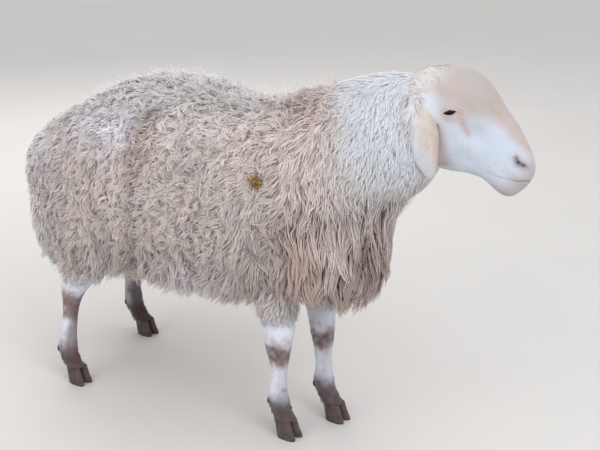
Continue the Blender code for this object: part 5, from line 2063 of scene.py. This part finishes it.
def build_stage(settings):
    """Pale floor, soft lights and the camera."""
    corners = [(-1, -1), (1, -1), (1, 1), (-1, 1)]
    mesh = bpy.data.meshes.new("floor")
    mesh.from_pydata([(x * FLOOR_REACH, y * FLOOR_REACH, 0.0) for x, y in corners], [], [(0, 1, 2, 3)])
    floor = placed("floor", mesh)
    shader = Shader("studio_floor")
    mottle = shader.noise(shader.place(), 3.0, 3.0, 0.5)
    tone = shader.blend(mottle, tuple(settings.floor_colour), tuple(0.94 * c for c in settings.floor_colour))
    floor.data.materials.append(shader.finish(Base_Color=tone, Roughness=0.85))
    world = bpy.data.worlds.new("studio")
    world.use_nodes = True
    sky = world.node_tree.nodes["Background"]
    sky.inputs["Color"].default_value = (0.88, 0.89, 0.91, 1.0)
    sky.inputs["Strength"].default_value = settings.sky_strength
    sun = bpy.data.lights.new("sky_glow", "SUN")
    sun.energy = settings.glow_power
    sun.angle = math.radians(80.0)
    placed("sky_glow", sun).rotation_euler = (math.radians(20.0), math.radians(-16.0), 0.0)
    add_light("key", (-1.4, -3.2, 2.7), 2.2, settings.key_power, (0.90, 0.95, 1.0))
    add_light("fill", (-3.4, 0.6, 1.7), 2.6, settings.fill_power, (1.0, 0.95, 0.90))
    add_light("back", (1.6, 2.6, 2.6), 2.4, settings.back_power, (1.0, 0.98, 0.96))
    camera_data = bpy.data.cameras.new("camera")
    camera_data.lens = CAMERA_LENS
    camera_data.sensor_width = CAMERA_SENSOR
    camera_data.clip_end = FLOOR_REACH
    camera = placed("camera", camera_data)
    aim(camera, CAMERA_PLACE, CAMERA_TARGET)
    scene = bpy.context.scene
    scene.world = world
    scene.camera = camera
    scene.view_settings.view_transform = "Standard"


# ---------- add-on classes
def colour_choice(name, description, colour):
    """A colour that the user can change."""
    return FloatVectorProperty(
        name=name, description=description, default=tuple(colour), subtype="COLOR", min=0.0, max=1.0
    )


def length_choice(name, description, length):
    """A length that the user can change."""
    return FloatProperty(name=name, description=description, default=length, unit="LENGTH")


def power_choice(name, description, power):
    """A light's power that the user can change."""
    return FloatProperty(name=name, description=description, default=power, unit="POWER")


def number_choice(name, description, value, least=0.0):
    """A plain number that the user can change."""
    return FloatProperty(name=name, description=description, default=value, min=least)


class SheepCoatSettings(bpy.types.PropertyGroup):
    """Sizes of the coat."""

    strand_density: number_choice(
        "Strand density", "Wool strands for each square metre of skin", 40500.0, 100.0
    )
    strand_length: length_choice("Strand length", "Length of the fleece's strands", 0.025)
    strand_width: length_choice("Strand width", "Width of the fleece's strands", 0.0028)
    ruff_length: length_choice("Ruff length", "Length of the chest's hanging locks", 0.095)
    hair_density: number_choice(
        "Hair density", "Short hairs for each square metre of face", 60000.0, 100.0
    )


class SheepColourSettings(bpy.types.PropertyGroup):
    """Colours of the markings."""

    fleece: colour_choice("Fleece", "Wool of the back and sides", FLEECE)
    neck: colour_choice("Neck", "White wool of the neck", NECK_WHITE)
    ruff: colour_choice("Ruff", "Hanging locks of the chest", RUFF)
    face: colour_choice("Face", "White of the cheeks", FACE_WHITE)
    nose: colour_choice("Nose ridge", "Tan of the nose ridge and the ears' rims", FACE_TAN)
    ears: colour_choice("Ears", "Cream of the ears", EAR_CREAM)
    legs: colour_choice("Legs", "White of the legs", LEG_WHITE)
    knees: colour_choice("Knees", "Brown of the knees and hocks", LEG_BROWN)
    mud: colour_choice("Mud", "Dried mud of the feet", MUD)


class SheepStageSettings(bpy.types.PropertyGroup):
    """Floor and light."""

    floor_colour: colour_choice("Floor colour", "Colour of the studio floor", (0.62, 0.60, 0.58))
    key_power: power_choice("Key light", "Power of the main light", 70.0)
    fill_power: power_choice("Fill light", "Power of the side light", 38.0)
    back_power: power_choice("Back light", "Power of the light behind", 45.0)
    glow_power: number_choice("Glow", "Strength of the wide light overhead", 0.9)
    sky_strength: number_choice("Sky", "Strength of the even light all round", 0.75)


class SHEEP_OT_skin(bpy.types.Operator):
    """Make the skin that replaces the flesh of body, head and legs"""

    bl_idname = "sheep.skin"
    bl_label = "Skin"

    def execute(self, context):
        use_colours(context.scene.sheep_colours)
        build_skin()
        return {"FINISHED"}


class SHEEP_OT_eyes(bpy.types.Operator):
    """Make the eyeballs, lid edges and lashes"""

    bl_idname = "sheep.eyes"
    bl_label = "Eyes"

    def execute(self, context):
        for side, sign in SIDES:
            build_eye(side, sign)
            build_lids(side, sign)
        build_lashes()
        return {"FINISHED"}


class SHEEP_OT_hooves(bpy.types.Operator):
    """Make the claws and dewclaws of all four feet"""

    bl_idname = "sheep.hooves"
    bl_label = "Hooves"

    def execute(self, context):
        use_colours(context.scene.sheep_colours)
        for leg in LEGS:
            build_hooves(leg)
        return {"FINISHED"}


class SHEEP_OT_fleece(bpy.types.Operator):
    """Grow the wool of trunk, thighs, neck, chest, tail and upper legs"""

    bl_idname = "sheep.fleece"
    bl_label = "Fleece"

    def execute(self, context):
        use_colours(context.scene.sheep_colours)
        settings = context.scene.sheep_coat
        build_fleece(settings)
        build_neck_wool(settings)
        build_ruff(settings)
        build_tail_wool(settings)
        build_leg_wool(settings)
        return {"FINISHED"}


class SHEEP_OT_hair(bpy.types.Operator):
    """Grow the short hair of head and legs"""

    bl_idname = "sheep.hair"
    bl_label = "Short hair"

    def execute(self, context):
        use_colours(context.scene.sheep_colours)
        settings = context.scene.sheep_coat
        build_face_hair(settings)
        build_leg_hair(settings)
        return {"FINISHED"}


class SHEEP_OT_straw(bpy.types.Operator):
    """Put the bits of straw into the fleece"""

    bl_idname = "sheep.straw"
    bl_label = "Straw bits"

    def execute(self, context):
        build_straw()
        return {"FINISHED"}


class SHEEP_OT_stage(bpy.types.Operator):
    """Make the floor, the lights and the camera"""

    bl_idname = "sheep.stage"
    bl_label = "Stage"

    def execute(self, context):
        build_stage(context.scene.sheep_stage)
        return {"FINISHED"}


OPERATORS = (
    SHEEP_OT_skin, SHEEP_OT_eyes, SHEEP_OT_hooves, SHEEP_OT_fleece, SHEEP_OT_hair, SHEEP_OT_straw,
    SHEEP_OT_stage,
)


class SHEEP_PT_panel(bpy.types.Panel):
    """Sidebar panel with one button for each group of pieces"""

    bl_idname = "SHEEP_PT_panel"
    bl_label = "Woolly sheep"
    bl_space_type = "VIEW_3D"
    bl_region_type = "UI"
    bl_category = "Sheep"

    def draw(self, context):
        column = self.layout.column()
        for operator in OPERATORS:
            column.operator(operator.bl_idname)
        for group in (context.scene.sheep_coat, context.scene.sheep_colours, context.scene.sheep_stage):
            for key in group.__annotations__:
                column.prop(group, key)


CLASSES = (SheepCoatSettings, SheepColourSettings, SheepStageSettings, *OPERATORS, SHEEP_PT_panel)


def register():
    """Register the classes and hang the settings on the scene."""
    for item in CLASSES:
        bpy.utils.register_class(item)
    bpy.types.Scene.sheep_coat = PointerProperty(type=SheepCoatSettings)
    bpy.types.Scene.sheep_colours = PointerProperty(type=SheepColourSettings)
    bpy.types.Scene.sheep_stage = PointerProperty(type=SheepStageSettings)


def unregister():
    """Take the settings and classes away again."""
    del bpy.types.Scene.sheep_stage
    del bpy.types.Scene.sheep_colours
    del bpy.types.Scene.sheep_coat
    for item in reversed(CLASSES):
        bpy.utils.unregister_class(item)


def main():
    """Register and make everything in order."""
    register()
    bpy.ops.sheep.stage()
    bpy.ops.sheep.skin()
    bpy.ops.sheep.eyes()
    bpy.ops.sheep.hooves()
    bpy.ops.sheep.fleece()
    bpy.ops.sheep.hair()
    bpy.ops.sheep.straw()


if __name__ == "__main__":
    main()
